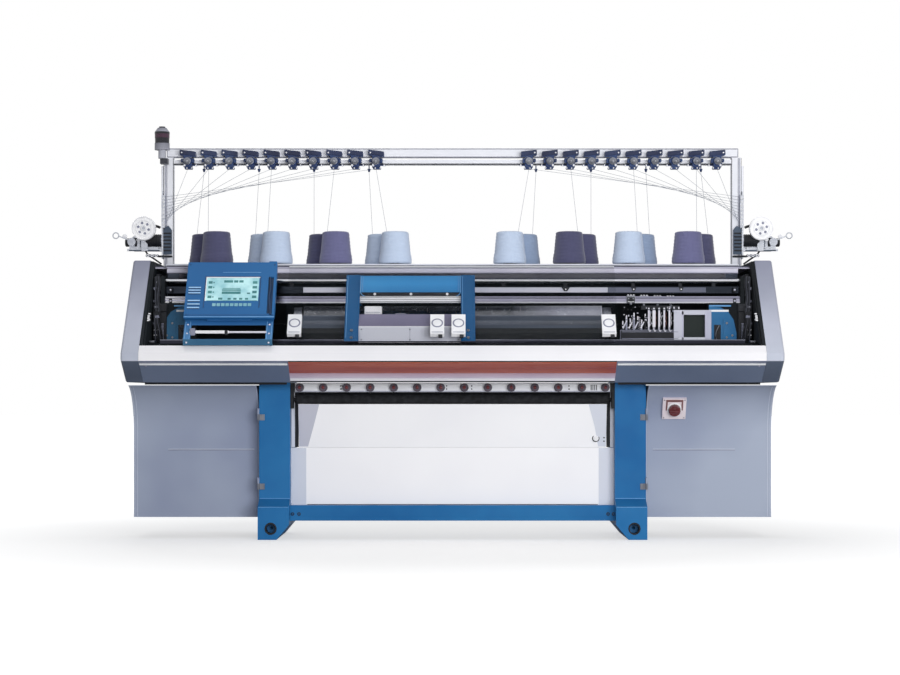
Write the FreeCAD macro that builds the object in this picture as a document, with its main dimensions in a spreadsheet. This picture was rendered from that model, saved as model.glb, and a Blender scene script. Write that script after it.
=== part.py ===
import FreeCAD, Part
import os
import re

import Sketcher
from FreeCAD import Placement, Rotation, Vector

# A flat knitting machine, built in millimetres. X runs to the right along the needle beds, Y runs
# from the operator's side to the rear, and Z is up. The origin is on the floor at the middle of the
# machine. Most places are written as a depth behind the nose, the frontmost line of the covers.

doc = FreeCAD.newDocument("flat_knitting_machine")

# The driving dimensions: alias, value in millimetres or degrees, and what it is.
SIZES = [
    # Overall body
    ("half_depth", 450, "nose plane to the middle of the machine"),
    ("body_half", 1629, "middle to the outer face of a side cap"),
    ("cap_width", 88, "width of a side cap"),
    ("cap_wall", 6, "wall of a side cap"),
    ("cap_round", 14, "rounding of a side cap's outer edge"),
    ("end_plate", 15, "thickness of the end frames"),
    ("cap_seam", 1, "seam between the front covers and a side cap"),
    ("crease_z", 895, "height of the crease under the nose"),
    ("nose_top", 935, "height where the nose starts to slope back"),
    ("slope_run", 410, "depth of the sloping front"),
    ("slope_rise", 479, "height of the sloping front"),
    ("cover_z", 971, "top edge of the front cover"),
    ("cover_lip", 31, "depth of the front cover's top lip"),
    ("sheet", 4, "folded sheet thickness"),
    ("apron_rear", 165, "depth where the lower apron ends"),
    ("apron_z", 791, "underside of the lower apron"),
    ("apron_flange", 65, "flange behind the lower apron"),
    ("cap_rear", 900, "rear face of the side caps"),
    ("cap_corner", 20, "bevel at a side cap's top rear corner"),
    ("rear_cover_z", 800, "underside of the rear cover"),
    ("rear_cover_top", 1380, "top of the rear cover"),
    # Legs and crossbeams
    ("leg_inner", 822, "middle to the inner face of a leg"),
    ("leg_width", 157, "width of a leg"),
    ("foot_front", 250, "depth of the foot's front face"),
    ("foot_long", 600, "length of a foot"),
    ("foot_high", 165, "height of a foot at its ends"),
    ("foot_ramp", 37, "rise of a foot to its uprights"),
    ("upright_front", 330, "depth of the front upright"),
    ("upright_deep", 120, "depth of each upright"),
    ("upright_gap", 200, "clear space between the uprights"),
    ("leg_top", 880, "top of a leg"),
    ("leg_bridge", 120, "height of the bar that joins the uprights"),
    ("foot_chamfer_x", 63, "width of the foot's inner chamfer"),
    ("foot_chamfer_z", 75, "height of the foot's inner chamfer"),
    ("lift_hole", 31, "radius of the lifting hole"),
    ("lift_hole_x", 92, "lifting hole from the leg's inner face"),
    ("lift_hole_z", 56, "height of the lifting hole"),
    ("lift_hole_deep", 120, "depth of the lifting hole"),
    ("cross_z", 91, "underside of the crossbeams"),
    ("cross_high", 78, "height of the crossbeams"),
    ("cross_deep", 70, "depth of the crossbeams"),
    ("cross_front", 340, "depth of the front crossbeam"),
    ("cross_rear", 560, "depth of the rear crossbeam"),
    # Bed beams, needle beds and rails
    ("gap_line", 400, "depth of the line between the needle beds"),
    ("beam_high", 105, "height of the bed beams"),
    ("beam_deep", 210, "depth of each bed beam"),
    ("beam_inset", 20, "bed beam from the gap line"),
    ("bed_half", 760, "half length of the needle beds"),
    ("bed_gap", 7, "half of the gap between the needle beds"),
    ("bed_front", 150, "needle bed's front face from the gap line"),
    ("bed_apex", 1182, "height of the needle beds at the gap"),
    ("guide_out", 210, "guide rail from the gap line"),
    ("guide_wide", 30, "width of a guide rail"),
    ("guide_high", 20, "height of a guide rail"),
    ("rail_half", 1461, "half length of the rails"),
    ("carrier_rail_out", 16, "carrier rail's inner face from the gap line"),
    ("carrier_rail_wide", 18, "width of a carrier rail"),
    ("carrier_rail_z", 1195, "underside of the carrier rails"),
    ("carrier_rail_high", 34, "height of a carrier rail"),
    ("flat_rail_z", 1246, "underside of the flat rail"),
    ("flat_rail_high", 34, "height of the flat rail"),
    ("round_rail_z", 1309, "height of the round rail's axis"),
    ("round_rail", 11, "radius of the round rail"),
    ("casting_start", 1300, "middle to the inner end of an end casting"),
    ("casting_long", 200, "length of an end casting"),
    ("casting_deep", 100, "depth of an end casting"),
    ("rail_plate", 19, "thickness of the plate that ends the rails"),
    # Carriage
    ("bow_left", -537, "left side of the carriage bow"),
    ("bow_wide", 650, "width of the carriage bow"),
    ("arm_wide", 70, "width of a bow arm"),
    ("bow_foot", 305, "bow's foot from the gap line"),
    ("bow_shoulder", 44, "bow's shoulder from the gap line"),
    ("bow_top", 1337, "top of the bow"),
    ("bow_foot_z", 990, "underside of the bow's feet"),
    ("bow_foot_deep", 55, "depth of a bow foot"),
    ("bow_inner", 58, "bow's inner side from the gap line at the rails"),
    ("bow_inner_z", 1240, "height where the bow's inner side steepens"),
    ("bow_ceiling", 40, "half width of the bow's inner top"),
    ("bow_plate", 14, "thickness of the bow's top"),
    ("bow_beam_high", 87, "height of the bow's beams"),
    ("bow_beam_deep", 20, "thickness of the bow's beams"),
    ("cam_face", 250, "cam box front face from the gap line"),
    ("cam_z", 988, "underside of a cam box"),
    ("cam_face_high", 81, "height of a cam box's front face"),
    ("cam_top", 1133, "top of a cam box"),
    ("cam_ridge", 165, "cam box's upper edge from the gap line"),
    ("cam_rear", 75, "cam box's inner face from the gap line"),
    ("slide_gap", 0.5, "running gap of sliding pieces"),
    ("cam_gap", 1, "gap between a cam box and the needle bed's face"),
    # Yarn carriers and the clamping unit
    ("carrier_wide", 44, "width of a yarn carrier's slider"),
    ("carrier_first", 905, "first yarn carrier"),
    ("carrier_pitch", 70, "spacing of the yarn carriers"),
    ("carrier_thick", 13.5, "outer slider thickness"),
    ("inner_thick", 5.6, "inner slider thickness"),
    ("finger_wide", 10, "width of a carrier's finger"),
    ("clamp_start", 850, "middle to the yarn clamp"),
    ("clamp_long", 300, "length of the yarn clamp"),
    ("clamp_out", 68, "yarn clamp's front face from the gap line"),
    ("clamp_deep", 60, "depth of the yarn clamp"),
    ("clamp_high", 73, "height of the yarn clamp's block"),
    ("clamp_finger_high", 102, "height of a clamp finger"),
    ("clamp_finger_first", 139, "first clamp finger along the clamp"),
    ("clamp_finger_pitch", 26, "spacing of the clamp fingers"),
    ("park_long", 138, "length of the parking box"),
    ("park_high", 169, "height of the parking box"),
    # Sliding windows
    ("window_z", 985, "lower edge of a window"),
    ("window_top", 1385, "top edge of a window"),
    ("window_thick", 6.6, "window measured level"),
    ("window_seam", -23, "where the windows meet"),
    ("window_left", -830, "left end of the left window"),
    ("window_right", 822, "right end of the right window"),
    ("shoe_front", 57, "depth of a window's lower shoe"),
    ("shoe_deep", 5, "thickness of a window's lower shoe"),
    ("latch_z", 1015, "underside of a window latch"),
    ("latch_high", 98, "height of a window latch"),
    ("latch_wide", 69, "width of a window latch"),
    ("latch_out", 18.2, "how far a latch stands out, measured level"),
    ("latch_up", 15.6, "how far a latch stands out, measured upright"),
    ("latch_inset", 14, "outer latch from the window's end"),
    ("latch_seam", 18, "inner latch from the seam"),
    ("window_rail_deep", 18, "depth of the window's top rail"),
    ("window_rail_high", 20, "height of the window's top rail"),
    # Control panel
    ("panel_left", -1327, "left side of the control panel"),
    ("panel_wide", 447, "width of the control panel"),
    ("panel_lean", 35, "how far the panel leans back, in degrees"),
    ("panel_front", 60, "depth of the panel's lower front edge"),
    ("panel_z", 1110, "height of the panel's lower front edge"),
    ("panel_long", 348, "height of the panel along its face"),
    ("panel_thick", 42, "thickness of the panel"),
    ("panel_edge", 25, "thickness of the panel at its top edge"),
    ("panel_toe", 16, "thickness of the panel at its lower edge"),
    ("panel_taper", 60, "length of the panel's lower taper"),
    ("panel_bevel", 48, "length of the panel's upper taper"),
    ("screen_left", 101, "screen from the panel's left side"),
    ("screen_wide", 261, "width of the screen"),
    ("screen_low", 104, "screen from the panel's lower edge"),
    ("screen_high", 144, "height of the screen"),
    ("screen_deep", 5, "depth of the screen's recess"),
    ("screen_gap", 0.5, "gap round the screen"),
    ("key_low", 70, "keys from the panel's lower edge"),
    ("key_left", 137, "first key from the panel's left side"),
    ("key_pitch", 22, "spacing of the keys"),
    ("key_size", 17, "side of a key"),
    ("key_high", 2.5, "height of a key above the panel"),
    ("bracket_left", -1322, "left side of the panel's bracket"),
    ("bracket_wide", 437, "width of the panel's bracket"),
    ("bracket_column", 34, "width of a bracket column"),
    ("bracket_top", 1103, "top of the bracket"),
    ("bracket_bend", 1000, "height where the bracket leans back"),
    ("bracket_deep", 15.8, "bracket measured level"),
    ("bracket_bar", 31, "height of the bracket's bars"),
    ("bracket_clear", 35.5, "bracket from the sloping front, measured level"),
    ("bracket_tongue", 44, "depth of the bracket's foot"),
    ("pivot_front", 81, "depth of the panel's pivot"),
    ("pivot_z", 1098.5, "height of the panel's pivot"),
    ("pivot_round", 5.7, "radius of the panel's pivot"),
    # Creel
    ("table_bracket_long", 70, "creel table from the side caps"),
    ("table_front", 410, "depth of the creel table's front edge"),
    ("table_rear", 880, "depth of the creel table's rear edge"),
    ("table_top", 1390, "top of the creel table"),
    ("table_lip", 41, "height of the creel table's lip"),
    ("table_bracket", 12, "thickness of the table's end brackets"),
    ("post_x", 1484, "middle to a creel post"),
    ("post_wide", 52, "width of a creel post"),
    ("post_deep", 44, "depth of a creel post"),
    ("post_depth", 690, "depth of the posts' middle"),
    ("beam_z", 1970, "underside of the top beam"),
    ("top_beam_high", 48, "height of the top beam"),
    ("top_beam_half", 1490, "half length of the top beam"),
    ("unit_rail_z", 1930, "underside of the unit rail"),
    ("unit_rail_side", 28, "side of the unit rail"),
    ("unit_first", 398, "first yarn control unit"),
    ("unit_pitch", 109, "spacing of the yarn control units"),
    ("unit_wide", 42, "width of a yarn control unit's foot"),
    ("unit_head", 82, "length of a yarn control unit's head"),
    ("unit_head_high", 24, "height of a unit's head"),
    ("unit_head_rise", 10, "how far a unit's head slopes"),
    ("unit_deep", 50, "depth of a yarn control unit"),
    ("unit_high", 58, "height of a yarn control unit's foot"),
    ("unit_z", 1915, "underside of the yarn control units"),
    ("unit_disc", 14, "radius of a tension disc"),
    ("unit_arm", 28, "length of a unit's side arm"),
    ("unit_outlet", 8, "length of a unit's yarn outlet"),
    ("outlet_front", 11, "yarn outlet from the unit's front face"),
    ("outlet_side", 6, "side of a unit's yarn outlet"),
    ("eyelet_first", 437, "first hanging eyelet"),
    ("eyelet_pitch", 288, "spacing of the hanging eyelets"),
    ("eyelet_high", 16, "height of a hanging eyelet"),
    ("eyelet_z", 1896, "underside of the hanging eyelets"),
    ("eyelet_round", 9, "upper radius of a hanging eyelet"),
    ("holder_high", 18, "height of a cone holder"),
    ("holder_round", 40, "radius of a cone holder"),
    ("holder_pin", 8, "radius of a cone holder's pin"),
    ("cone_base", 85, "lower radius of a yarn cone"),
    ("cone_top", 69, "upper radius of a yarn cone"),
    ("cone_high", 167, "height of a yarn cone"),
    ("cone_hole", 20, "radius of a yarn cone's hole"),
    ("front_cones", 600, "depth of the front row of cones"),
    ("rear_cones", 780, "depth of the rear row of cones"),
    ("front_cone_first", 297, "first front cone"),
    ("rear_cone_first", 378, "first rear cone"),
    ("cone_pitch", 309, "spacing of the cones"),
    ("yarn_round", 0.8, "radius of a yarn"),
    # Side feeders
    ("feeder_plate", 8, "thickness of a feeder's plate"),
    ("feeder_plate_z", 1440, "underside of a feeder's plate"),
    ("feeder_plate_high", 350, "height of a feeder's plate"),
    ("feeder_plate_deep", 62, "depth of a feeder's plate"),
    ("feeder_arm_long", 182, "length of a feeder's arm"),
    ("feeder_arm_z", 1480, "underside of a feeder's arm"),
    ("feeder_arm_high", 12, "height of a feeder's arm"),
    ("feeder_arm_front", 662, "depth of a feeder's arm"),
    ("feeder_shell_long", 172, "length of a feeder's housing"),
    ("feeder_shell_deep", 38, "depth of a feeder's housing"),
    ("feeder_shell_high", 78, "height of a feeder's housing"),
    ("feeder_shell_bevel", 22, "bevels of a feeder's housing"),
    ("feeder_motor", 30, "radius of a feeder's motor"),
    ("feeder_motor_long", 78, "length of a feeder's motor"),
    ("feeder_motor_z", 1535, "height of a feeder's motor"),
    ("wheel_x", 1606, "middle to a feeder wheel"),
    ("wheel_z", 1595, "height of a feeder wheel"),
    ("wheel_round", 62, "radius of a feeder wheel"),
    ("wheel_wide", 30, "width of a feeder wheel"),
    ("wheel_front", 605, "depth of a feeder wheel's front"),
    ("wheel_axle", 8, "radius of a feeder wheel's axle"),
    ("lever_x", 1674, "middle to a tension lever's pivot"),
    ("lever_z", 1527, "height of a tension lever's pivot"),
    ("lever_drum", 21, "radius of a tension lever's drum"),
    ("lever_pin", 6, "radius of a tension lever's pin"),
    ("lever_run", 83, "tension lever from pivot to ring, level"),
    ("lever_rise", 33, "tension lever from pivot to ring, upright"),
    ("lever_ring", 15, "radius of a tension lever's ring"),
    ("lever_wire", 3, "radius of a ring's wire"),
    ("strip_z", 1600, "underside of the eyelet strip"),
    ("strip_high", 170, "height of the eyelet strip"),
    ("strip_deep", 10, "depth of the eyelet strip"),
    ("fit_gap", 0.05, "radial clearance of a shaft in its bore"),
    # Cabinets
    ("cabinet_inner", 986, "middle to the cabinet door's inner edge"),
    ("cabinet_outer", 1627, "middle to the cabinet's outer face"),
    ("cabinet_z", 105, "underside of the cabinets"),
    ("cabinet_top", 777, "top of the cabinets"),
    ("cabinet_rear", 860, "rear face of the cabinets"),
    ("cabinet_wall", 3, "sheet of the cabinets"),
    ("door_face", 420, "depth of the door's flat face"),
    ("door_nose", 240, "depth of the door's top edge"),
    ("door_bend", 544, "height where the door starts to curve"),
    ("door_return", 16, "depth of the door's folded edges"),
    ("door_gap", 0.4, "gap between a door and its cabinet"),
    ("hinge_x", 982.5, "middle to the door hinges"),
    ("hinge_front", 322, "depth of the door hinges"),
    ("hinge_round", 6, "radius of a hinge barrel"),
    ("hinge_high", 30, "height of a hinge knuckle"),
    ("hinge_low", 250, "height of the lower hinge"),
    ("hinge_spacing", 350, "spacing of the hinges"),
    ("hinge_leaf", 32, "length of a hinge leaf"),
    ("switch_x", 1067, "middle to the main switch plate"),
    ("switch_wide", 119, "width of the main switch plate"),
    ("switch_low", 613, "lower edge of the main switch plate"),
    ("switch_high", 103, "height of the main switch plate"),
    ("switch_thick", 14, "thickness of the main switch plate"),
    ("switch_knob", 29, "radius of the main switch knob"),
    ("switch_knob_long", 26, "length of the main switch knob"),
    # Signal lamp
    ("lamp_x", -1512, "middle to the signal lamp"),
    ("lamp_out", 40, "signal lamp's axis in front of the post"),
    ("lamp_z", 2004, "underside of the signal lamp"),
    ("lamp_round", 39, "radius of the signal lamp"),
    ("lamp_neck", 20, "radius of the lamp's neck"),
    ("lamp_neck_long", 44, "length of the lamp's neck"),
    ("lamp_clip_high", 28, "height of the lamp's clip on the post"),
    # Fabric take-down and chute
    ("take_z", 743, "underside of the take-down bar"),
    ("take_high", 46, "height of the take-down bar"),
    ("take_front", 335, "depth of the take-down bar's front"),
    ("take_deep", 40, "thickness of the take-down bar"),
    ("take_side", 16, "thickness of the take-down side plates"),
    ("take_side_z", 660, "underside of the take-down side plates"),
    ("take_side_deep", 115, "depth of the take-down side plates"),
    ("knob_count", 14, "number of take-down knobs"),
    ("knob_pitch", 119, "spacing of the take-down knobs"),
    ("knob_round", 19.5, "radius of a take-down knob"),
    ("knob_long", 22, "length of a take-down knob"),
    ("roller_z", 705, "height of the take-down rollers"),
    ("roller_round", 28, "radius of a take-down roller"),
    ("roller_nip", 0.5, "half of the gap between the rollers"),
    ("roller_half", 790, "half length of a roller"),
    ("roller_shaft", 10, "radius of a roller's shaft"),
    ("lip_half", 807, "half length of the take-down lip and flap"),
    ("flap_gap", 0.5, "gap at the flap's ends"),
    ("flap_top", 886, "top edge of the take-down flap"),
    ("flap_low", 836, "lower edge of the take-down flap"),
    ("chute_half", 782, "half length of the upper chute panel"),
    ("chute_top", 652, "top edge of the upper chute panel"),
    ("chute_low", 462, "lower edge of the upper chute panel"),
    ("chute_top_front", 352, "depth of the upper chute panel's top"),
    ("bin_front", 400, "depth of the fabric bin's front"),
    ("bin_half", 742, "half length of the fabric bin"),
    ("bin_deep", 204, "depth of the fabric bin"),
    ("bin_rear_high", 530, "height of the fabric bin's rear"),
    ("knob_x", 729, "middle to the chute panel's knob"),
    ("chute_knob_up", 46, "chute knob above the panel's lower edge"),
    ("chute_knob", 14, "radius of the chute panel's knob"),
    # Carriage drive
    ("pulley_x", 1440, "middle to a belt pulley"),
    ("pulley_z", 1060, "height of the belt pulleys"),
    ("pulley_round", 40, "radius of a belt pulley"),
    ("pulley_front", 712, "depth of the belt's front edge"),
    ("pulley_wide", 25, "width of the belt"),
    ("belt_gap", 0.35, "gap between the belt and a pulley"),
    ("belt_thick", 4, "thickness of the belt"),
    ("motor_round", 55, "radius of the drive motor"),
    ("motor_front", 772, "depth of the drive motor's front"),
    ("clamp_grip", 0.5, "gap between the belt and its clamp"),
]

sheet = doc.addObject("Spreadsheet::Sheet", "Sizes")
for row, (alias, value, meaning) in enumerate(SIZES, start=1):
    sheet.set(f"A{row}", alias)
    sheet.set(f"B{row}", str(value))
    sheet.set(f"C{row}", meaning)
    sheet.setAlias(f"B{row}", alias)
doc.recompute()

ALIASES = {alias for alias, value, meaning in SIZES}
WORD = re.compile(r"[a-z]\w*")


def size(alias):
    """Value of a driving dimension, for the few shapes made by Part's own functions."""
    return float(sheet.get(alias))


def tie(thing, place, words):
    """Binds a property to an expression in the sheet's aliases."""
    def with_sheet(match):
        word = match.group()
        return f"Sizes.{word}" if word in ALIASES else word
    thing.setExpression(place, WORD.sub(with_sheet, str(words)))


def put(thing, x, depth, z):
    tie(thing, "Placement.Base.x", x)
    tie(thing, "Placement.Base.y", f"({depth}) - half_depth")
    tie(thing, "Placement.Base.z", z)


# ---------------------------------------------------------------- helpers for simple pieces

def block(name, x, depth, z, wide, deep, high):
    solid = doc.addObject("Part::Box", name)
    tie(solid, "Length", wide)
    tie(solid, "Width", deep)
    tie(solid, "Height", high)
    put(solid, x, depth, z)
    return solid


TURNS = {
    "X": Rotation(Vector(0, 1, 0), 90),
    "Y": Rotation(Vector(1, 0, 0), -90),
    "Z": Rotation(),
}


def rod(name, axis, x, depth, z, radius, length):
    solid = doc.addObject("Part::Cylinder", name)
    solid.Placement = Placement(Vector(), TURNS[axis])
    tie(solid, "Radius", radius)
    tie(solid, "Height", length)
    put(solid, x, depth, z)
    return solid


def taper(name, x, depth, z, lower, upper, height):
    solid = doc.addObject("Part::Cone", name)
    tie(solid, "Radius1", lower)
    tie(solid, "Radius2", upper)
    tie(solid, "Height", height)
    put(solid, x, depth, z)
    return solid


def outline(body, name, role, corners):
    """Closed sketch of straight lines on one of the body's origin planes."""
    plane = next(f for f in body.Origin.OriginFeatures if f.Role == role)
    sketch = body.newObject("Sketcher::SketchObject", name)
    sketch.AttachmentSupport = [(plane, "")]
    sketch.MapMode = "FlatFace"
    count = len(corners)
    ring = Part.makeCircle(100).discretize(count + 1)[:count]
    for index in range(count):
        sketch.addGeometry(Part.LineSegment(ring[index], ring[(index + 1) % count]))
    for index in range(count):
        sketch.addConstraint(Sketcher.Constraint("Coincident", index, 2, (index + 1) % count, 1))
    for index, (across, up) in enumerate(corners):
        start = ring[index]
        level = Sketcher.Constraint("DistanceX", -1, 1, index, 1, start.x)
        tie(sketch, f"Constraints[{sketch.addConstraint(level)}]", across)
        plumb = Sketcher.Constraint("DistanceY", -1, 1, index, 1, start.y)
        tie(sketch, f"Constraints[{sketch.addConstraint(plumb)}]", up)
    return sketch


def profile(name, corners, x, length):
    """Side profile of (depth, height) corners, padded along X."""
    body = doc.addObject("PartDesign::Body", name)
    pad = body.newObject("PartDesign::Pad", f"{name}_pad")
    pad.Profile = outline(body, f"{name}_outline", "YZ_Plane", corners)
    tie(pad, "Length", length)
    put(body, x, "0", "0")
    body.Tip = pad
    return body


def front_profile(name, corners, depth, length):
    """Front profile of (x, height) corners, padded to the rear."""
    body = doc.addObject("PartDesign::Body", name)
    pad = body.newObject("PartDesign::Pad", f"{name}_pad")
    pad.Profile = outline(body, f"{name}_outline", "XZ_Plane", corners)
    pad.Reversed = True
    tie(pad, "Length", length)
    put(body, "0", depth, "0")
    body.Tip = pad
    return body


def mirror(name, source, axis="X"):
    """Copy of a piece across the machine's middle, or across the gap line."""
    copy = doc.addObject("Part::Mirroring", name)
    copy.Source = source
    copy.Normal = Vector(1, 0, 0) if axis == "X" else Vector(0, 1, 0)
    if axis == "Y":
        tie(copy, "Base.y", "gap_line - half_depth")
    return copy


def group(name, pieces):
    """Several separate solids that share one node."""
    together = doc.addObject("Part::Compound", name)
    together.Links = pieces
    return together


def fuse(name, pieces):
    joined = doc.addObject("Part::MultiFuse", name)
    joined.Shapes = pieces
    return joined


def cut(name, base, tool):
    result = doc.addObject("Part::Cut", name)
    result.Base = base
    result.Tool = tool
    return result


NODES = []


def node(*pieces):
    """Lists finished sub-parts, each under its own label."""
    NODES.extend(pieces)


# ---------------------------------------------------------------- legs and crossbeams

COVER_HALF = "(body_half - cap_width)"
FRAME_HALF = "(body_half - cap_width - end_plate)"
FOOT_REAR = "(foot_front + foot_long)"
REAR_UPRIGHT = "(upright_front + upright_deep + upright_gap)"
FOOT_SHOULDER = "(foot_high + foot_ramp)"


def make_legs():
    blank = profile("leg_blank", [
        ("foot_front", "0"),
        (FOOT_REAR, "0"),
        (FOOT_REAR, "foot_high"),
        (f"{REAR_UPRIGHT} + upright_deep", FOOT_SHOULDER),
        (f"{REAR_UPRIGHT} + upright_deep", "leg_top"),
        ("upright_front", "leg_top"),
        ("upright_front", FOOT_SHOULDER),
        ("foot_front", "foot_high"),
    ], "leg_inner", "leg_width")
    window = block(
        "leg_window", "leg_inner - sheet", "upright_front + upright_deep", FOOT_SHOULDER,
        "leg_width + 2 * sheet", "upright_gap", f"leg_top - leg_bridge - {FOOT_SHOULDER}")
    corner = front_profile("leg_corner", [
        ("leg_inner", "0"),
        ("leg_inner + foot_chamfer_x", "0"),
        ("leg_inner", "foot_chamfer_z"),
    ], "foot_front", "foot_long")
    hole = rod("leg_hole", "Y", "leg_inner + lift_hole_x", "foot_front", "lift_hole_z",
               "lift_hole", "lift_hole_deep")
    right = cut("right_leg", blank, fuse("leg_cuts", [window, corner, hole]))
    node(mirror("left_leg", right), right)


def make_crossbeams():
    bars = [
        block(f"{place}_crossbeam", "-leg_inner", f"cross_{place}", "cross_z",
              "2 * leg_inner", "cross_deep", "cross_high")
        for place in ("front", "rear")
    ]
    node(group("crossbeams", bars))


# ---------------------------------------------------------------- bed beams and end frames

BEAM_TOP = "(leg_top + beam_high)"
CAP_TOP = "(nose_top + slope_rise)"


def bed_beams():
    front = block("front_bed_beam", f"-{FRAME_HALF}", "gap_line - beam_inset - beam_deep",
                  "leg_top", f"2 * {FRAME_HALF}", "beam_deep", "beam_high")
    return [front, mirror("rear_bed_beam", front, "Y")]


def side_corners(inset):
    """Side outline of the machine's upper body, moved inwards."""
    return [
        (inset, f"crease_z + {inset} / 2"),
        (inset, "nose_top"),
        (f"slope_run + {inset}", f"{CAP_TOP} - {inset}"),
        (f"cap_rear - cap_corner - {inset}", f"{CAP_TOP} - {inset}"),
        (f"cap_rear - {inset}", f"{CAP_TOP} - cap_corner - {inset}"),
        (f"cap_rear - {inset}", f"apron_z + {inset}"),
        (f"apron_rear + {inset} / 2", f"apron_z + {inset}"),
    ]


def make_bed_frame():
    right = profile("right_end_frame", side_corners("sheet"), FRAME_HALF, "end_plate")
    node(group("bed_frame", bed_beams() + [mirror("left_end_frame", right), right]))


def make_side_caps():
    body = doc.addObject("PartDesign::Body", "right_side_cap")
    pad = body.newObject("PartDesign::Pad", "cap_pad")
    pad.Profile = outline(body, "cap_outline", "YZ_Plane", side_corners("0"))
    tie(pad, "Length", "cap_width")
    put(body, COVER_HALF, "0", "0")
    doc.recompute()
    width = size("cap_width")
    rim = [
        f"Edge{index}" for index, edge in enumerate(pad.Shape.Edges, start=1)
        if all(abs(vertex.X - width) < 0.001 for vertex in edge.Vertexes)
    ]
    rounding = body.newObject("PartDesign::Fillet", "cap_rounding")
    rounding.Base = (pad, rim)
    tie(rounding, "Radius", "cap_round")
    doc.recompute()
    hollow = body.newObject("PartDesign::Pocket", "cap_hollow")
    hollow.Profile = outline(body, "cap_hollow_outline", "YZ_Plane", side_corners("cap_wall"))
    hollow.Reversed = True
    tie(hollow, "Length", "cap_width - cap_wall - cap_round / 2")
    body.Tip = hollow
    node(mirror("left_side_cap", body), body)


# ---------------------------------------------------------------- covers

SLOPE = "(slope_run / slope_rise)"
APRON_SLANT = "(sheet * 1.9)"


def slope_at(z):
    """Depth of the sloping front at a height."""
    return f"(({z}) - nose_top) * {SLOPE}"


def apron_at(z):
    """Depth of the lower apron's outer face at a height."""
    return f"(crease_z - ({z})) * apron_rear / (crease_z - apron_z)"


def make_covers():
    plate = profile("front_cover_plate", [
        ("0", "crease_z"),
        ("sheet", "crease_z"),
        ("sheet", "nose_top - sheet / 2"),
        (f"{slope_at('cover_z')} + sheet / 2", "cover_z - sheet"),
        (f"{slope_at('cover_z')} + cover_lip", "cover_z - sheet"),
        (f"{slope_at('cover_z')} + cover_lip", "cover_z"),
        (slope_at("cover_z"), "cover_z"),
        ("0", "nose_top"),
    ], f"-{FRAME_HALF}", f"2 * {FRAME_HALF}")
    cover_end = profile("right_cover_end", [
        ("0", "crease_z"),
        ("sheet / 2", "crease_z"),
        ("sheet / 2", "nose_top - sheet / 4"),
        (f"{slope_at('cover_z')} + sheet / 4", "cover_z - sheet / 2"),
        (slope_at("cover_z"), "cover_z"),
        ("0", "nose_top"),
    ], FRAME_HALF, "end_plate - cap_seam")
    cover = fuse("front_cover", [mirror("left_cover_end", cover_end), plate, cover_end])
    apron = profile("right_apron_plate", [
        ("0", "crease_z"),
        ("apron_rear", "apron_z"),
        ("apron_rear + apron_flange", "apron_z"),
        ("apron_rear + apron_flange", "apron_z + sheet"),
        (f"{apron_at('apron_z + sheet')} + {APRON_SLANT}", "apron_z + sheet"),
        (APRON_SLANT, "crease_z"),
    ], "lip_half", f"{FRAME_HALF} - lip_half")
    apron_end = profile("right_apron_end", [
        ("0", "crease_z"),
        ("apron_rear", "apron_z"),
        ("apron_rear + sheet", "apron_z"),
        ("sheet", "crease_z"),
    ], FRAME_HALF, "end_plate - cap_seam")
    right = fuse("right_apron", [apron, apron_end])
    lip = profile("take_down_lip", [
        (apron_at("flap_low - slide_gap"), "flap_low - slide_gap"),
        ("apron_rear", "apron_z"),
        ("apron_rear + apron_flange", "apron_z"),
        ("apron_rear + apron_flange", "apron_z + sheet"),
        (f"{apron_at('apron_z + sheet')} + {APRON_SLANT}", "apron_z + sheet"),
        (f"{apron_at('flap_low - slide_gap')} + {APRON_SLANT}", "flap_low - slide_gap"),
    ], "-lip_half", "2 * lip_half")
    slant = "sqrt(apron_rear * apron_rear + (crease_z - apron_z) * (crease_z - apron_z))"
    back = f"sheet * (crease_z - apron_z) / {slant}"
    rise = f"sheet * apron_rear / {slant}"
    plate = profile("flap_plate", [
        (apron_at("flap_top"), "flap_top"),
        (apron_at("flap_low"), "flap_low"),
        (f"{apron_at('flap_low')} + {back}", f"flap_low + {rise}"),
        (f"{apron_at('flap_top')} + {back}", f"flap_top + {rise}"),
    ], "flap_gap - lip_half", "2 * (lip_half - flap_gap)")
    edge = rod("flap_hinge_edge", "X", "flap_gap - lip_half",
               f"{apron_at('flap_top')} + {back} / 2", f"flap_top + {rise} / 2",
               "sheet / 2", "2 * (lip_half - flap_gap)")
    flap = fuse("take_down_flap", [plate, edge])
    rear = block("rear_cover", f"-{FRAME_HALF}", "table_rear", "rear_cover_z",
                 f"2 * {FRAME_HALF}", "sheet", "rear_cover_top - rear_cover_z")
    aprons = group("lower_aprons", [mirror("left_apron", right), lip, right])
    node(cover, aprons, flap, rear)


# ---------------------------------------------------------------- needle beds and rails

def make_needle_beds():
    low = "bed_apex - bed_front + bed_gap"
    front = profile("front_needle_bed", [
        ("gap_line - bed_front", BEAM_TOP),
        ("gap_line - bed_gap", BEAM_TOP),
        ("gap_line - bed_gap", "bed_apex"),
        ("gap_line - bed_front", low),
    ], "-bed_half", "2 * bed_half")
    node(group("needle_beds", [front, mirror("rear_needle_bed", front, "Y")]))


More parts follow.
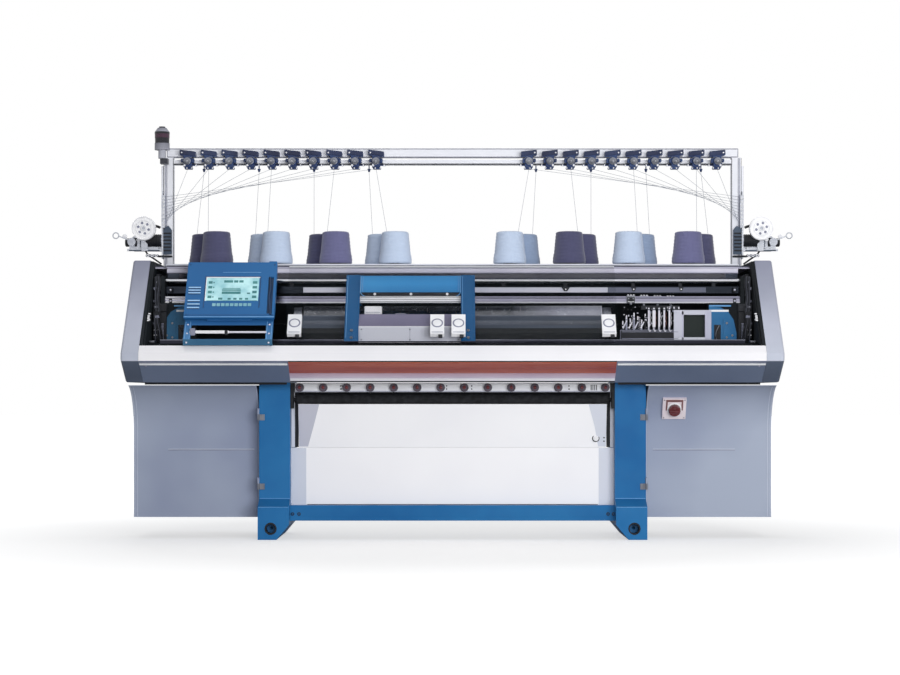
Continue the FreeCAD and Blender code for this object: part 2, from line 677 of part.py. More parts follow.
def make_rails():
    guide = block("front_guide_rail", "-rail_half", "gap_line - guide_out", BEAM_TOP,
                  "2 * rail_half", "guide_wide", "guide_high")
    carrier = block("front_carrier_rail", "-rail_half",
                    "gap_line - carrier_rail_out - carrier_rail_wide", "carrier_rail_z",
                    "2 * rail_half", "carrier_rail_wide", "carrier_rail_high")
    flat = block("flat_rail", "-rail_half", "gap_line - carrier_rail_wide / 2", "flat_rail_z",
                 "2 * rail_half", "carrier_rail_wide", "flat_rail_high")
    round_rail = rod("round_rail", "X", "-rail_half", "gap_line", "round_rail_z",
                     "round_rail", "2 * rail_half")
    node(group("rails", [
        guide,
        mirror("rear_guide_rail", guide, "Y"),
        carrier,
        mirror("rear_carrier_rail", carrier, "Y"),
        flat,
        round_rail,
    ]))


def make_end_castings():
    stand = block("casting_stand", "casting_start", "gap_line - casting_deep / 2", BEAM_TOP,
                  "casting_long", "casting_deep", f"carrier_rail_z - {BEAM_TOP}")
    plate = block("casting_plate", "rail_half", "gap_line - casting_deep / 2", "carrier_rail_z",
                  "rail_plate", "casting_deep", "round_rail_z + 2 * round_rail - carrier_rail_z")
    right = fuse("right_end_casting", [stand, plate])
    node(group("end_castings", [mirror("left_end_casting", right), right]))


# ---------------------------------------------------------------- carriage

def make_carriage():
    arm_corners = [
        ("gap_line - bow_foot", "bow_foot_z"),
        ("gap_line - bow_shoulder", "bow_top"),
        ("gap_line + bow_shoulder", "bow_top"),
        ("gap_line + bow_foot", "bow_foot_z"),
        ("gap_line + bow_foot - bow_foot_deep", "bow_foot_z"),
        ("gap_line + bow_inner", "bow_inner_z"),
        ("gap_line + bow_ceiling", "bow_top - bow_plate"),
        ("gap_line - bow_ceiling", "bow_top - bow_plate"),
        ("gap_line - bow_inner", "bow_inner_z"),
        ("gap_line - bow_foot + bow_foot_deep", "bow_foot_z"),
    ]
    left_arm = profile("bow_left_arm", arm_corners, "bow_left", "arm_wide")
    right_arm = profile("bow_right_arm", arm_corners, "bow_left + bow_wide - arm_wide", "arm_wide")
    lean = "((bow_foot - bow_shoulder) / (bow_top - bow_foot_z))"
    top_face = f"gap_line - bow_shoulder - sheet * {lean} + sheet"
    low_face = f"{top_face} - bow_beam_high * {lean}"
    beam = profile("bow_front_beam", [
        (low_face, "bow_top - sheet - bow_beam_high"),
        (top_face, "bow_top - sheet"),
        (f"{top_face} + bow_beam_deep", "bow_top - sheet"),
        (f"{low_face} + bow_beam_deep", "bow_top - sheet - bow_beam_high"),
    ], "bow_left + arm_wide", "bow_wide - 2 * arm_wide")
    run_z = "(pulley_z - pulley_round - belt_gap - belt_thick)"
    jaw = block("belt_clamp_jaw", "bow_left", "gap_line + bow_foot - 30", f"{run_z} - 14",
                "arm_wide", "60", "belt_thick + 28")
    slot = block("belt_clamp_slot", "bow_left - sheet", "pulley_front - clamp_grip",
                 f"{run_z} - clamp_grip", "arm_wide + 2 * sheet", "60",
                 "belt_thick + 2 * clamp_grip")
    node(fuse("carriage_bow", [
        left_arm, right_arm, beam,
        mirror("bow_rear_beam", beam, "Y"),
        cut("belt_clamp", jaw, slot),
    ]))


def make_cam_boxes():
    bed_low = "(bed_apex - bed_front + bed_gap)"
    near = "(gap_line - bed_front - cam_gap)"
    guide = "gap_line - guide_out"
    box = profile("front_cam_box", [
        ("gap_line - cam_face", "cam_z"),
        (f"{guide} - slide_gap", "cam_z"),
        (f"{guide} - slide_gap", f"{BEAM_TOP} + guide_high + slide_gap"),
        (f"{guide} + guide_wide + slide_gap", f"{BEAM_TOP} + guide_high + slide_gap"),
        (f"{guide} + guide_wide + slide_gap", "cam_z"),
        (near, "cam_z"),
        (near, f"{bed_low} + cam_gap"),
        ("gap_line - cam_rear", f"{bed_low} + cam_gap + bed_front + cam_gap - cam_rear"),
        ("gap_line - cam_rear", "cam_top"),
        ("gap_line - cam_ridge", "cam_top"),
        ("gap_line - cam_face", "cam_z + cam_face_high"),
    ], "bow_left + arm_wide", "bow_wide - 2 * arm_wide")
    node(group("cam_boxes", [box, mirror("rear_cam_box", box, "Y")]))


# ---------------------------------------------------------------- yarn carriers and clamp

TIP_Z = "(bed_apex + 2)"


def make_yarn_carriers():
    top = "carrier_rail_z + carrier_rail_high + sheet"
    outer_face = "(gap_line - carrier_rail_out - carrier_rail_wide - slide_gap)"
    inner_face = "(gap_line - carrier_rail_out + slide_gap)"
    outer_slider = ("carrier_thick", f"{outer_face} - carrier_thick")
    inner_slider = ("inner_thick", inner_face)
    outer_finger = [
        (f"{outer_face} - carrier_thick", "carrier_rail_z"),
        (f"{outer_face} - carrier_thick", "carrier_rail_z - 7.5"),
        ("gap_line - 6", TIP_Z),
        ("gap_line - 4", TIP_Z),
        ("gap_line - 4", f"{TIP_Z} + 3"),
        (outer_face, "carrier_rail_z - 3.5"),
        (outer_face, "carrier_rail_z"),
    ]
    inner_finger = [
        (inner_face, "carrier_rail_z"),
        (inner_face, "carrier_rail_z - 1"),
        ("gap_line - 3", "carrier_rail_z - 1"),
        ("gap_line - 3", TIP_Z),
        ("gap_line - 1.2", TIP_Z),
        ("gap_line - 1.2", "carrier_rail_z + 2"),
        (f"{inner_face} + inner_thick", "carrier_rail_z + 2"),
        (inner_face, "carrier_rail_z + 2"),
    ]
    kinds = [
        (outer_slider, outer_finger, False),
        (inner_slider, inner_finger, False),
        (inner_slider, inner_finger, True),
        (outer_slider, outer_finger, True),
    ]
    for index, ((thick, start), finger, flipped) in enumerate(kinds):
        name = f"yarn_carrier_{index + 1}"
        middle = f"carrier_first + {index} * carrier_pitch"
        slider = block(f"{name}_slider", f"{middle} - carrier_wide / 2", start, "carrier_rail_z",
                       "carrier_wide", thick, f"{top} - carrier_rail_z")
        arm = profile(f"{name}_finger", finger, f"{middle} - finger_wide / 2", "finger_wide")
        if flipped:
            joined = fuse(f"{name}_pair", [slider, arm])
            node(mirror(name, joined, "Y"))
        else:
            node(fuse(name, [slider, arm]))


def make_yarn_clamp():
    front = "gap_line - clamp_out"
    base = block("clamp_base", "clamp_start", front, BEAM_TOP,
                 "clamp_long", "clamp_deep", "clamp_high")
    fingers = [
        block(f"clamp_finger_{index}",
              f"clamp_start + clamp_finger_first + {index} * clamp_finger_pitch",
              front, f"{BEAM_TOP} + clamp_high", "finger_wide", "finger_wide", "clamp_finger_high")
        for index in range(5)
    ]
    shell = block("park_box_shell", "clamp_start + clamp_long + finger_wide", front, BEAM_TOP,
                  "park_long", "clamp_deep", "park_high")
    recess = block("park_box_recess", "clamp_start + clamp_long + 2 * finger_wide",
                   f"{front} - sheet", f"{BEAM_TOP} + finger_wide",
                   "park_long - 3 * finger_wide", "clamp_deep / 2", "park_high - 3 * finger_wide")
    box = cut("park_box", shell, recess)
    node(group("yarn_clamp_unit", [fuse("clamp", [base] + fingers), box]))


# ---------------------------------------------------------------- sliding windows

def make_windows():
    pane_corners = [
        (slope_at("window_z"), "window_z"),
        (slope_at("window_top"), "window_top"),
        (f"{slope_at('window_top')} + window_thick", "window_top"),
        (f"{slope_at('window_z + 7')} + window_thick", "window_z + 7"),
        ("shoe_front + shoe_deep", "window_z + 7"),
        ("shoe_front + shoe_deep", "cover_z + slide_gap"),
        ("shoe_front", "cover_z + slide_gap"),
        ("shoe_front", "window_z"),
    ]
    left = profile("left_window", pane_corners, "window_left",
                   "window_seam - slide_gap - window_left")
    right = profile("right_window", pane_corners, "window_seam + slide_gap",
                    "window_right - window_seam - slide_gap")
    latch_top = "latch_z + latch_high"
    latch_corners = [
        (slope_at("latch_z"), "latch_z"),
        (slope_at(latch_top), latch_top),
        (f"{slope_at(latch_top)} - latch_out", f"{latch_top} + latch_up"),
        (f"{slope_at('latch_z')} - latch_out", "latch_z + latch_up"),
    ]
    places = {
        "left": ("window_left + latch_inset", "window_seam - latch_seam - latch_wide"),
        "right": ("window_seam + latch_seam", "window_right - latch_inset - latch_wide"),
    }
    node(left, right)
    for side, starts in places.items():
        pair = [
            profile(f"{side}_latch_{index}", latch_corners, start, "latch_wide")
            for index, start in enumerate(starts, start=1)
        ]
        node(group(f"{side}_window_latches", pair))


# ---------------------------------------------------------------- control panel

def panel_corner(inward, up):
    """Point in the panel's own section: inward from its face and up along it."""
    return (
        f"panel_front + ({up}) * sin(panel_lean) + ({inward}) * cos(panel_lean)",
        f"panel_z + ({up}) * cos(panel_lean) - ({inward}) * sin(panel_lean)",
    )


def panel_block(name, x, inward, up, wide, deep, high):
    """Block that leans back with the panel."""
    depth, z = panel_corner(inward, up)
    solid = doc.addObject("Part::Box", name)
    solid.Placement = Placement(Vector(), Rotation(Vector(-1, 0, 0), 10))
    tie(solid, "Placement.Rotation.Angle", "panel_lean")
    tie(solid, "Length", wide)
    tie(solid, "Width", deep)
    tie(solid, "Height", high)
    put(solid, x, depth, z)
    return solid


def make_control_panel():
    shell = profile("panel_shell", [
        panel_corner("0", "0"),
        panel_corner("0", "panel_long"),
        panel_corner("panel_edge", "panel_long"),
        panel_corner("panel_thick", "panel_long - panel_bevel"),
        panel_corner("panel_thick", "panel_taper"),
        panel_corner("panel_toe", "0"),
    ], "panel_left", "panel_wide")
    recess = panel_block(
        "screen_recess", "panel_left + screen_left - screen_gap", "-sheet",
        "screen_low - screen_gap", "screen_wide + 2 * screen_gap", "screen_deep + sheet",
        "screen_high + 2 * screen_gap")
    slot = panel_block(
        "side_recess", "panel_left + panel_wide - 39", "-sheet", "24",
        "26", "9 + sheet", "232")
    housing = cut("panel_housing", shell, fuse("panel_recesses", [recess, slot]))
    screen = panel_block("panel_screen", "panel_left + screen_left", "0.6", "screen_low",
                         "screen_wide", "screen_deep - 0.6", "screen_high")
    keys = [
        panel_block(f"key_{index}", f"panel_left + key_left + {index} * key_pitch", "-key_high",
                    "key_low", "key_size", "key_high", "key_size")
        for index in range(9)
    ]
    node(housing, screen, group("panel_keys", keys))


def make_panel_bracket():
    def rear(z):
        return f"{slope_at(z)} - bracket_clear"
    frame = profile("bracket_frame", [
        (f"{rear('bracket_bend')} - bracket_deep", "cover_z + slide_gap"),
        ("bracket_tongue", "cover_z + slide_gap"),
        ("bracket_tongue", "cover_z + 8"),
        (rear("bracket_bend"), "cover_z + 8"),
        (rear("bracket_bend"), "bracket_bend"),
        (rear("bracket_top"), "bracket_top"),
        (f"{rear('bracket_top')} - bracket_deep", "bracket_top"),
        (f"{rear('bracket_bend')} - bracket_deep", "bracket_bend"),
    ], "bracket_left", "bracket_wide")
    opening = block(
        "bracket_opening", "bracket_left + bracket_column", "-sheet", "cover_z + bracket_bar",
        "bracket_wide - 2 * bracket_column", "bracket_top - cover_z",
        "bracket_top - cover_z - 2 * bracket_bar")
    lug = block("pivot_lug", "bracket_left + bracket_wide / 4", "pivot_front", "pivot_z - 4.5",
                "bracket_wide / 2", "16", "9")
    barrel = rod("pivot_barrel", "X", "bracket_left + bracket_wide / 4", "pivot_front",
                 "pivot_z", "pivot_round", "bracket_wide / 2")
    node(fuse("panel_bracket", [cut("bracket_open_frame", frame, opening), lug, barrel]))


# ---------------------------------------------------------------- creel

def make_creel_table():
    table_half = f"({FRAME_HALF} - table_bracket_long)"
    tray = profile("table_tray", [
        ("table_front", "table_top - table_lip"),
        ("table_front", "table_top"),
        ("table_rear", "table_top"),
        ("table_rear", "table_top - table_lip"),
        ("table_rear - sheet", "table_top - table_lip"),
        ("table_rear - sheet", "table_top - sheet"),
        ("table_front + sheet", "table_top - sheet"),
        ("table_front + sheet", "table_top - table_lip"),
    ], f"-{table_half}", f"2 * {table_half}")
    rail = block("window_top_rail", f"-{table_half}", "table_front - window_rail_deep",
                 "window_top + slide_gap - window_rail_high / 2", f"2 * {table_half}",
                 "window_rail_deep", "window_rail_high")
    right = block("right_table_bracket", f"{table_half} - 2 * table_bracket",
                  "table_front + 2 * table_bracket", "table_top - sheet - table_bracket",
                  "table_bracket_long + 2 * table_bracket",
                  "table_rear - table_front - 4 * table_bracket", "table_bracket")
    node(fuse("creel_table", [tray, rail, mirror("left_table_bracket", right), right]))


POST_FRONT = "(post_depth - post_deep / 2)"
POST_OUTER = "(post_x + post_wide / 2)"
POST_INNER = "(post_x - post_wide / 2)"


def make_creel_frame():
    foot = "(table_top - sheet)"
    right = block("right_creel_post", POST_INNER, POST_FRONT, foot,
                  "post_wide", "post_deep", f"beam_z - {foot}")
    beam = block("top_beam", "-top_beam_half", POST_FRONT, "beam_z",
                 "2 * top_beam_half", "post_deep", "top_beam_high")
    rail = block("unit_rail", f"-{POST_INNER}", POST_FRONT, "unit_rail_z",
                 f"2 * {POST_INNER}", "unit_rail_side", "unit_rail_side")
    node(group("creel_frame", [mirror("left_creel_post", right), right, beam, rail]))


UNIT_FRONT = f"({POST_FRONT} - unit_deep)"


def make_yarn_control_units():
    right = []
    for index in range(10):
        name = f"unit_{index}"
        middle = f"unit_first + {index} * unit_pitch"
        body = front_profile(f"{name}_body", [
            (f"{middle} - unit_wide / 2", "unit_z"),
            (f"{middle} + unit_wide / 2", "unit_z"),
            (f"{middle} + unit_wide / 2", "unit_z + unit_high"),
            (f"{middle} + unit_head / 2", "unit_z + unit_high + unit_head_rise / 2"),
            (f"{middle} + unit_head / 2",
             "unit_z + unit_high + unit_head_rise / 2 + unit_head_high"),
            (f"{middle} - unit_head / 2",
             "unit_z + unit_high - unit_head_rise / 2 + unit_head_high"),
            (f"{middle} - unit_head / 2", "unit_z + unit_high - unit_head_rise / 2"),
            (f"{middle} - unit_wide / 2", "unit_z + unit_high - unit_head_rise / 2"),
        ], UNIT_FRONT, "unit_deep")
        right.append(fuse(name, [
            body,
            rod(f"{name}_disc", "Y", middle, f"{UNIT_FRONT} - unit_disc",
                "unit_z + unit_high / 2", "unit_disc", "unit_disc"),
            block(f"{name}_arm", f"{middle} - unit_wide / 2 - unit_arm", f"{UNIT_FRONT} + 19",
                  "unit_z + 7", "unit_arm", "6", "6"),
            block(f"{name}_outlet", f"{middle} - outlet_side / 2",
                  f"{UNIT_FRONT} + outlet_front", "unit_z - unit_outlet", "outlet_side",
                  "outlet_side", "unit_outlet"),
        ]))
    for index in range(4):
        name = f"eyelet_{index}"
        middle = f"eyelet_first + {index} * eyelet_pitch"
        right.append(fuse(name, [
            rod(f"{name}_stem", "Z", middle, "post_depth", "eyelet_z + eyelet_high", "3",
                "unit_rail_z - eyelet_z - eyelet_high"),
            taper(f"{name}_cone", middle, "post_depth", "eyelet_z", "eyelet_round / 2",
                  "eyelet_round", "eyelet_high"),
        ]))
    side = group("right_yarn_units", right)
    node(group("yarn_control_units", [mirror("left_yarn_units", side), side]))


# Colour of each cone, from the middle of the machine outwards, for both rows.
CONE_COLOURS = {
    "left": (("pale", "purple", "pale", "purple"), ("pale", "purple", "pale", "purple")),
    "right": (("pale", "purple", "pale", "purple"), ("blue", "purple", "blue", "purple")),
}


def cone_place(row, index, side):
    """Middle of a cone, from its row, its number from the machine's middle and its side."""
    sign = "-" if side == "left" else ""
    name = "front" if row == 0 else "rear"
    return f"{sign}({name}_cone_first + {index} * cone_pitch)", f"{name}_cones"


def make_cones():
    cones = {"purple": [], "pale": [], "blue": []}
    holders = []
    for side, rows in CONE_COLOURS.items():
        for row, colours in enumerate(rows):
            for index, colour in enumerate(colours):
                name = f"{side}_cone_{row}_{index}"
                x, depth = cone_place(row, index, side)
                foot = "table_top + holder_high"
                wound = taper(f"{name}_yarn", x, depth, foot, "cone_base", "cone_top", "cone_high")
                hole = rod(f"{name}_hole", "Z", x, depth, foot, "cone_hole", "cone_high")
                cones[colour].append(cut(name, wound, hole))
                disc = rod(f"{name}_disc", "Z", x, depth, "table_top", "holder_round",
                           "holder_high")
                pin = rod(f"{name}_pin", "Z", x, depth, foot, "holder_pin", "cone_high * 0.7")
                holders.append(fuse(f"{name}_holder", [disc, pin]))
    node(group("cone_holders", holders))
    for colour, pieces in cones.items():
        node(group(f"{colour}_cones", pieces))


def make_yarns():
    """Yarns held taut: cone to unit or eyelet, and unit to side feeder."""
    radius = size("yarn_round")
    half_depth = size("half_depth")
    clear = radius + 0.1
    off_axis = (size("cone_hole") + size("cone_top")) / 2
    cone_z = size("table_top") + size("holder_high") + size("cone_high") + clear
    unit_front = size("post_depth") - size("post_deep") / 2 - size("unit_deep")
    outlet_z = size("unit_z") - size("unit_outlet") - clear
    outlet_depth = unit_front + size("outlet_front") + size("outlet_side") / 2
    beside = size("outlet_side") * 0.3
    strip_x = size("post_x") + size("post_wide") / 2 - size("strip_deep") - clear
    strip_depth = (size("post_depth") + size("post_deep") / 2 - size("feeder_plate_deep")
                   - size("strip_deep") / 2)
    lines = []
    for index, unit in enumerate((0, 2, 5, 8)):
        x = size("front_cone_first") + index * size("cone_pitch") + off_axis
        unit_x = size("unit_first") + unit * size("unit_pitch")
        lines.append((Vector(x, size("front_cones"), cone_z),
                      Vector(unit_x, outlet_depth - beside, outlet_z)))
    for index in range(4):
        x = size("rear_cone_first") + index * size("cone_pitch") + off_axis
        eyelet_x = size("eyelet_first") + index * size("eyelet_pitch")
        lines.append((Vector(x, size("rear_cones"), cone_z),
                      Vector(eyelet_x, size("post_depth"), size("eyelet_z") - clear)))
    for index in range(10):
        unit_x = size("unit_first") + index * size("unit_pitch")
        strip_z = size("strip_z") + size("strip_high") * (0.95 - index * 0.1)
        lines.append((Vector(unit_x, outlet_depth + beside, outlet_z),
                      Vector(strip_x, strip_depth, strip_z)))
    shapes = []
    for start, end in lines:
        for sign in (1, -1):
            low = Vector(sign * start.x, start.y - half_depth, start.z)
            high = Vector(sign * end.x, end.y - half_depth, end.z)
            run = high - low
            shapes.append(Part.makeCylinder(radius, run.Length, low, run))
    yarns = doc.addObject("Part::Feature", "yarns")
    yarns.Shape = Part.makeCompound(shapes)
    node(yarns)


# ---------------------------------------------------------------- side feeders

def make_side_feeders():
    outer = f"({POST_OUTER} + feeder_plate)"
    plate_front = f"({POST_FRONT} + post_deep - feeder_plate_deep)"
    plate = block("feeder_side_plate", POST_OUTER, plate_front, "feeder_plate_z",
                  "feeder_plate", "feeder_plate_deep", "feeder_plate_high")
    strip = block("feeder_strip", f"{POST_OUTER} - strip_deep", f"{plate_front} - strip_deep",
                  "strip_z", "strip_deep + feeder_plate", "strip_deep", "strip_high")
    arm = block("feeder_arm", outer, "feeder_arm_front", "feeder_arm_z",
                "feeder_arm_long", "feeder_arm_high", "feeder_arm_high")
    shell_top = "feeder_arm_z + feeder_shell_high"
    shell = front_profile("feeder_shell", [
        (outer, "feeder_arm_z"),
        (f"{outer} + feeder_shell_long - feeder_shell_bevel", "feeder_arm_z"),
        (f"{outer} + feeder_shell_long", "feeder_arm_z + feeder_shell_bevel"),
        (f"{outer} + feeder_shell_long", f"{shell_top} - feeder_shell_bevel"),
        (f"{outer} + feeder_shell_long - feeder_shell_bevel", shell_top),
        (outer, shell_top),
    ], "feeder_arm_front + feeder_arm_high / 2", "feeder_shell_deep")
    motor = rod("feeder_motor_body", "X", outer, "feeder_arm_front + feeder_arm_high / 2",
                "feeder_motor_z", "feeder_motor", "feeder_motor_long")
    upright = block("feeder_upright", "wheel_x - 2 * wheel_axle", "wheel_front + wheel_wide + 5",
                    "feeder_arm_z", "4 * wheel_axle",
                    "feeder_arm_front + feeder_arm_high - wheel_front - wheel_wide - 5",
                    "wheel_z + 2 * wheel_axle - feeder_arm_z")
    axle = rod("feeder_axle", "Y", "wheel_x", "wheel_front - 3", "wheel_z", "wheel_axle",
               "wheel_wide + 10")
    post = block("lever_post", "lever_x - lever_pin - 8", "feeder_arm_front", "feeder_arm_z",
                 "2 * lever_pin + 16", "feeder_arm_high", "lever_z + lever_pin + 8 - feeder_arm_z")
    pin = rod("lever_pin_rod", "Y", "lever_x", "feeder_arm_front - 2 * feeder_arm_high",
              "lever_z", "lever_pin", "2 * feeder_arm_high")
    right = fuse("right_feeder", [plate, strip, arm, shell, motor, upright, axle, post, pin])
    node(group("feeder_brackets", [mirror("left_feeder", right), right]))

    disc = rod("wheel_disc", "Y", "wheel_x", "wheel_front", "wheel_z", "wheel_round", "wheel_wide")
    bore = rod("wheel_bore", "Y", "wheel_x", "wheel_front", "wheel_z", "wheel_axle + fit_gap",
               "wheel_wide")
    wheel = cut("right_feeder_wheel", disc, bore)
    node(mirror("left_feeder_wheel", wheel), wheel)

    drum = rod("lever_drum_disc", "Y", "lever_x", "feeder_arm_front - feeder_arm_high - 10",
               "lever_z", "lever_drum", "feeder_arm_high + 9.5")
    drum_bore = rod("lever_bore", "Y", "lever_x", "feeder_arm_front - feeder_arm_high - 10",
                    "lever_z", "lever_pin + fit_gap", "feeder_arm_high + 9.5")
    ring_x = "lever_x + lever_run"
    ring_z = "lever_z + lever_rise"
    ring_depth = "feeder_arm_front - feeder_arm_high"
    ring = doc.addObject("Part::Torus", "lever_ring_wire")
    ring.Placement = Placement(Vector(), TURNS["Y"])
    tie(ring, "Radius1", "lever_ring")
    tie(ring, "Radius2", "lever_wire")
    put(ring, ring_x, ring_depth, ring_z)
    stem = doc.addObject("Part::Box", "lever_stem")
    stem.Placement = Placement(Vector(), Rotation(Vector(0, -1, 0), 10))
    tie(stem, "Placement.Rotation.Angle", "atan(lever_rise / lever_run)")
    reach = "sqrt(lever_run * lever_run + lever_rise * lever_rise)"
    tie(stem, "Length", f"{reach} - lever_drum - lever_ring + 6")
    tie(stem, "Width", "2 * lever_wire")
    tie(stem, "Height", "2 * lever_wire")
    put(stem, f"lever_x + (lever_drum - 3) * lever_run / {reach}",
        f"{ring_depth} - lever_wire", f"lever_z + (lever_drum - 3) * lever_rise / {reach}")
    lever = fuse("right_tension_lever", [cut("lever_drum_ring", drum, drum_bore), stem, ring])
    node(mirror("left_tension_lever", lever), lever)


# ---------------------------------------------------------------- cabinets

DOOR_STEP = "(door_face - door_nose)"
DOOR_RISE = "(cabinet_top - door_bend)"
DOOR_CURVE = f"(({DOOR_STEP} * {DOOR_STEP} + {DOOR_RISE} * {DOOR_RISE}) / (2 * {DOOR_STEP}))"
CABINET_FRONT = "(door_face + door_return)"
LEG_OUTER = "(leg_inner + leg_width)"
HINGE_HEIGHTS = ("hinge_low", "(hinge_low + hinge_spacing)")


def door_at(z):
    """Depth of the door's curved face at a height."""
    rise = f"(({z}) - door_bend)"
    return f"(door_face - {DOOR_CURVE} + sqrt({DOOR_CURVE} * {DOOR_CURVE} - {rise} * {rise}))"


def make_cabinets():
    shell = block("cabinet_shell", LEG_OUTER, CABINET_FRONT, "cabinet_z",
                  f"cabinet_outer - {LEG_OUTER}", f"cabinet_rear - {CABINET_FRONT}",
                  "cabinet_top - cabinet_z")
    inside = block("cabinet_inside", f"{LEG_OUTER} + cabinet_wall", f"{CABINET_FRONT} - sheet",
                   "cabinet_z + cabinet_wall", f"cabinet_outer - {LEG_OUTER} - 2 * cabinet_wall",
                   f"cabinet_rear - {CABINET_FRONT} + sheet - cabinet_wall",
                   "cabinet_top - cabinet_z - 2 * cabinet_wall")
    right = cut("right_cabinet", shell, inside)
    node(mirror("left_cabinet", right), right)


def make_cabinet_doors():
    wide = "cabinet_outer - cabinet_inner"
    back = f"({CABINET_FRONT} - door_gap)"
    flat = block("door_flat", "cabinet_inner", "door_face", "cabinet_z",
                 wide, "cabinet_wall", "door_bend - cabinet_z")
    angle = f"acos(({DOOR_CURVE} - {DOOR_STEP}) / {DOOR_CURVE})"
    outer = rod("door_curve_outer", "X", "cabinet_inner", f"door_face - {DOOR_CURVE}",
                "door_bend", f"{DOOR_CURVE} + cabinet_wall", wide)
    outer.Placement = Placement(Vector(), Rotation(Vector(0, 1, 0), 90) * Rotation(
        Vector(0, 0, 1), 90))
    put(outer, "cabinet_inner", f"door_face - {DOOR_CURVE}", "door_bend")
    tie(outer, "Angle", angle)
    inner = rod("door_curve_inner", "X", "cabinet_inner", f"door_face - {DOOR_CURVE}",
                "door_bend", DOOR_CURVE, wide)
    above = block("door_curve_trim", "cabinet_inner - sheet", "door_nose - sheet", "cabinet_top",
                  f"{wide} + 2 * sheet", "door_face - door_nose + 2 * sheet", "2 * cabinet_wall")
    curve = cut("door_curve", outer, fuse("door_curve_cuts", [inner, above]))
    top = block("door_top", "cabinet_inner", "door_nose", "cabinet_top - cabinet_wall",
                wide, f"{back} - door_nose", "cabinet_wall")
    foot = block("door_foot", "cabinet_inner", "door_face", "cabinet_z",
                 wide, f"{back} - door_face", "cabinet_wall")
    pieces = [flat, curve, top, foot]
    for index, z in enumerate(HINGE_HEIGHTS):
        start = f"{z} + hinge_high + door_gap"
        pieces.append(block(f"hinge_arm_{index}", "cabinet_inner", "hinge_front", start,
                            "cabinet_wall", "door_face - hinge_front + cabinet_wall",
                            "hinge_high"))
        pieces.append(rod(f"hinge_knuckle_{index}", "Z", "hinge_x", "hinge_front", start,
                          "hinge_round", "hinge_high"))
    right = fuse("right_cabinet_door", pieces)
    node(mirror("left_cabinet_door", right), right)

    leaves = []
    for index, z in enumerate(HINGE_HEIGHTS):
        leaf = block(f"hinge_leaf_{index}", "hinge_x - hinge_leaf", "hinge_front + 2", z,
                     "hinge_leaf", "upright_front - hinge_front - 2", "hinge_high")
        knuckle = rod(f"leaf_knuckle_{index}", "Z", "hinge_x", "hinge_front", z,
                      "hinge_round", "hinge_high")
        leaves.append(fuse(f"right_hinge_leaf_{index}", [leaf, knuckle]))
    side = group("right_hinge_leaves", leaves)
    node(group("door_hinge_leaves", [mirror("left_hinge_leaves", side), side]))


def make_main_switch():
    low = "switch_low"
    high = "(switch_low + switch_high)"
    run = f"({door_at(low)} - {door_at(high)})"
    slant = f"sqrt({run} * {run} + switch_high * switch_high)"
    out_depth = f"(switch_thick * switch_high / {slant})"
    out_z = f"(switch_thick * {run} / {slant})"
    slab = profile("main_switch_slab", [
        (f"{door_at(low)} + {out_depth}", f"{low} + {out_z}"),
        (f"{door_at(high)} + {out_depth}", f"{high} + {out_z}"),
        (f"{door_at(high)} - {out_depth}", f"{high} - {out_z}"),
        (f"{door_at(low)} - {out_depth}", f"{low} - {out_z}"),
    ], "switch_x", "switch_wide")
    face = rod("main_switch_seat", "X", "switch_x", f"door_face - {DOOR_CURVE}", "door_bend",
               DOOR_CURVE, "switch_wide")
    plate = doc.addObject("Part::Common", "main_switch_plate")
    plate.Base = slab
    plate.Tool = face
    knob = doc.addObject("Part::Cylinder", "main_switch_knob")
    knob.Placement = Placement(Vector(), Rotation(Vector(1, 0, 0), 80))
    tie(knob, "Placement.Rotation.Angle", f"90deg + atan({run} / switch_high)")
    tie(knob, "Radius", "switch_knob")
    tie(knob, "Height", "switch_knob_long")
    put(knob, "switch_x + switch_wide / 2",
        f"({door_at(low)} + {door_at(high)}) / 2 - {out_depth}",
        f"({low} + {high}) / 2 - {out_z}")
    node(plate, knob)


# ---------------------------------------------------------------- signal lamp

def make_signal_lamp():
    depth = f"({POST_FRONT} - lamp_out)"
    neck = rod("lamp_neck_tube", "Z", "lamp_x", depth, "lamp_z - lamp_neck_long", "lamp_neck",
               "lamp_neck_long")
    clip = block("lamp_clip", "lamp_x - lamp_neck / 2", f"{depth} - lamp_neck / 2",
                 "lamp_z - lamp_neck_long - lamp_clip_high", "2 * lamp_neck",
                 "lamp_out + lamp_neck / 2", "lamp_clip_high")
    tiers = [
        ("base", 0, 34, 1.0, 1.0),
        ("foot", 34, 28, 0.95, 0.95),
        ("lens", 62, 20, 0.98, 0.98),
        ("ring", 82, 11, 1.0, 1.0),
        ("cap", 93, 21, 1.0, 0.6),
        ("button", 114, 7, 0.42, 0.42),
    ]
    stack = [
        taper(f"lamp_{tier}", "lamp_x", depth, f"lamp_z + {up}", f"lamp_round * {lower}",
              f"lamp_round * {upper}", high)
        for tier, up, high, lower, upper in tiers
    ]
    node(fuse("signal_lamp", [neck, clip] + stack))


# ---------------------------------------------------------------- fabric take-down and chute

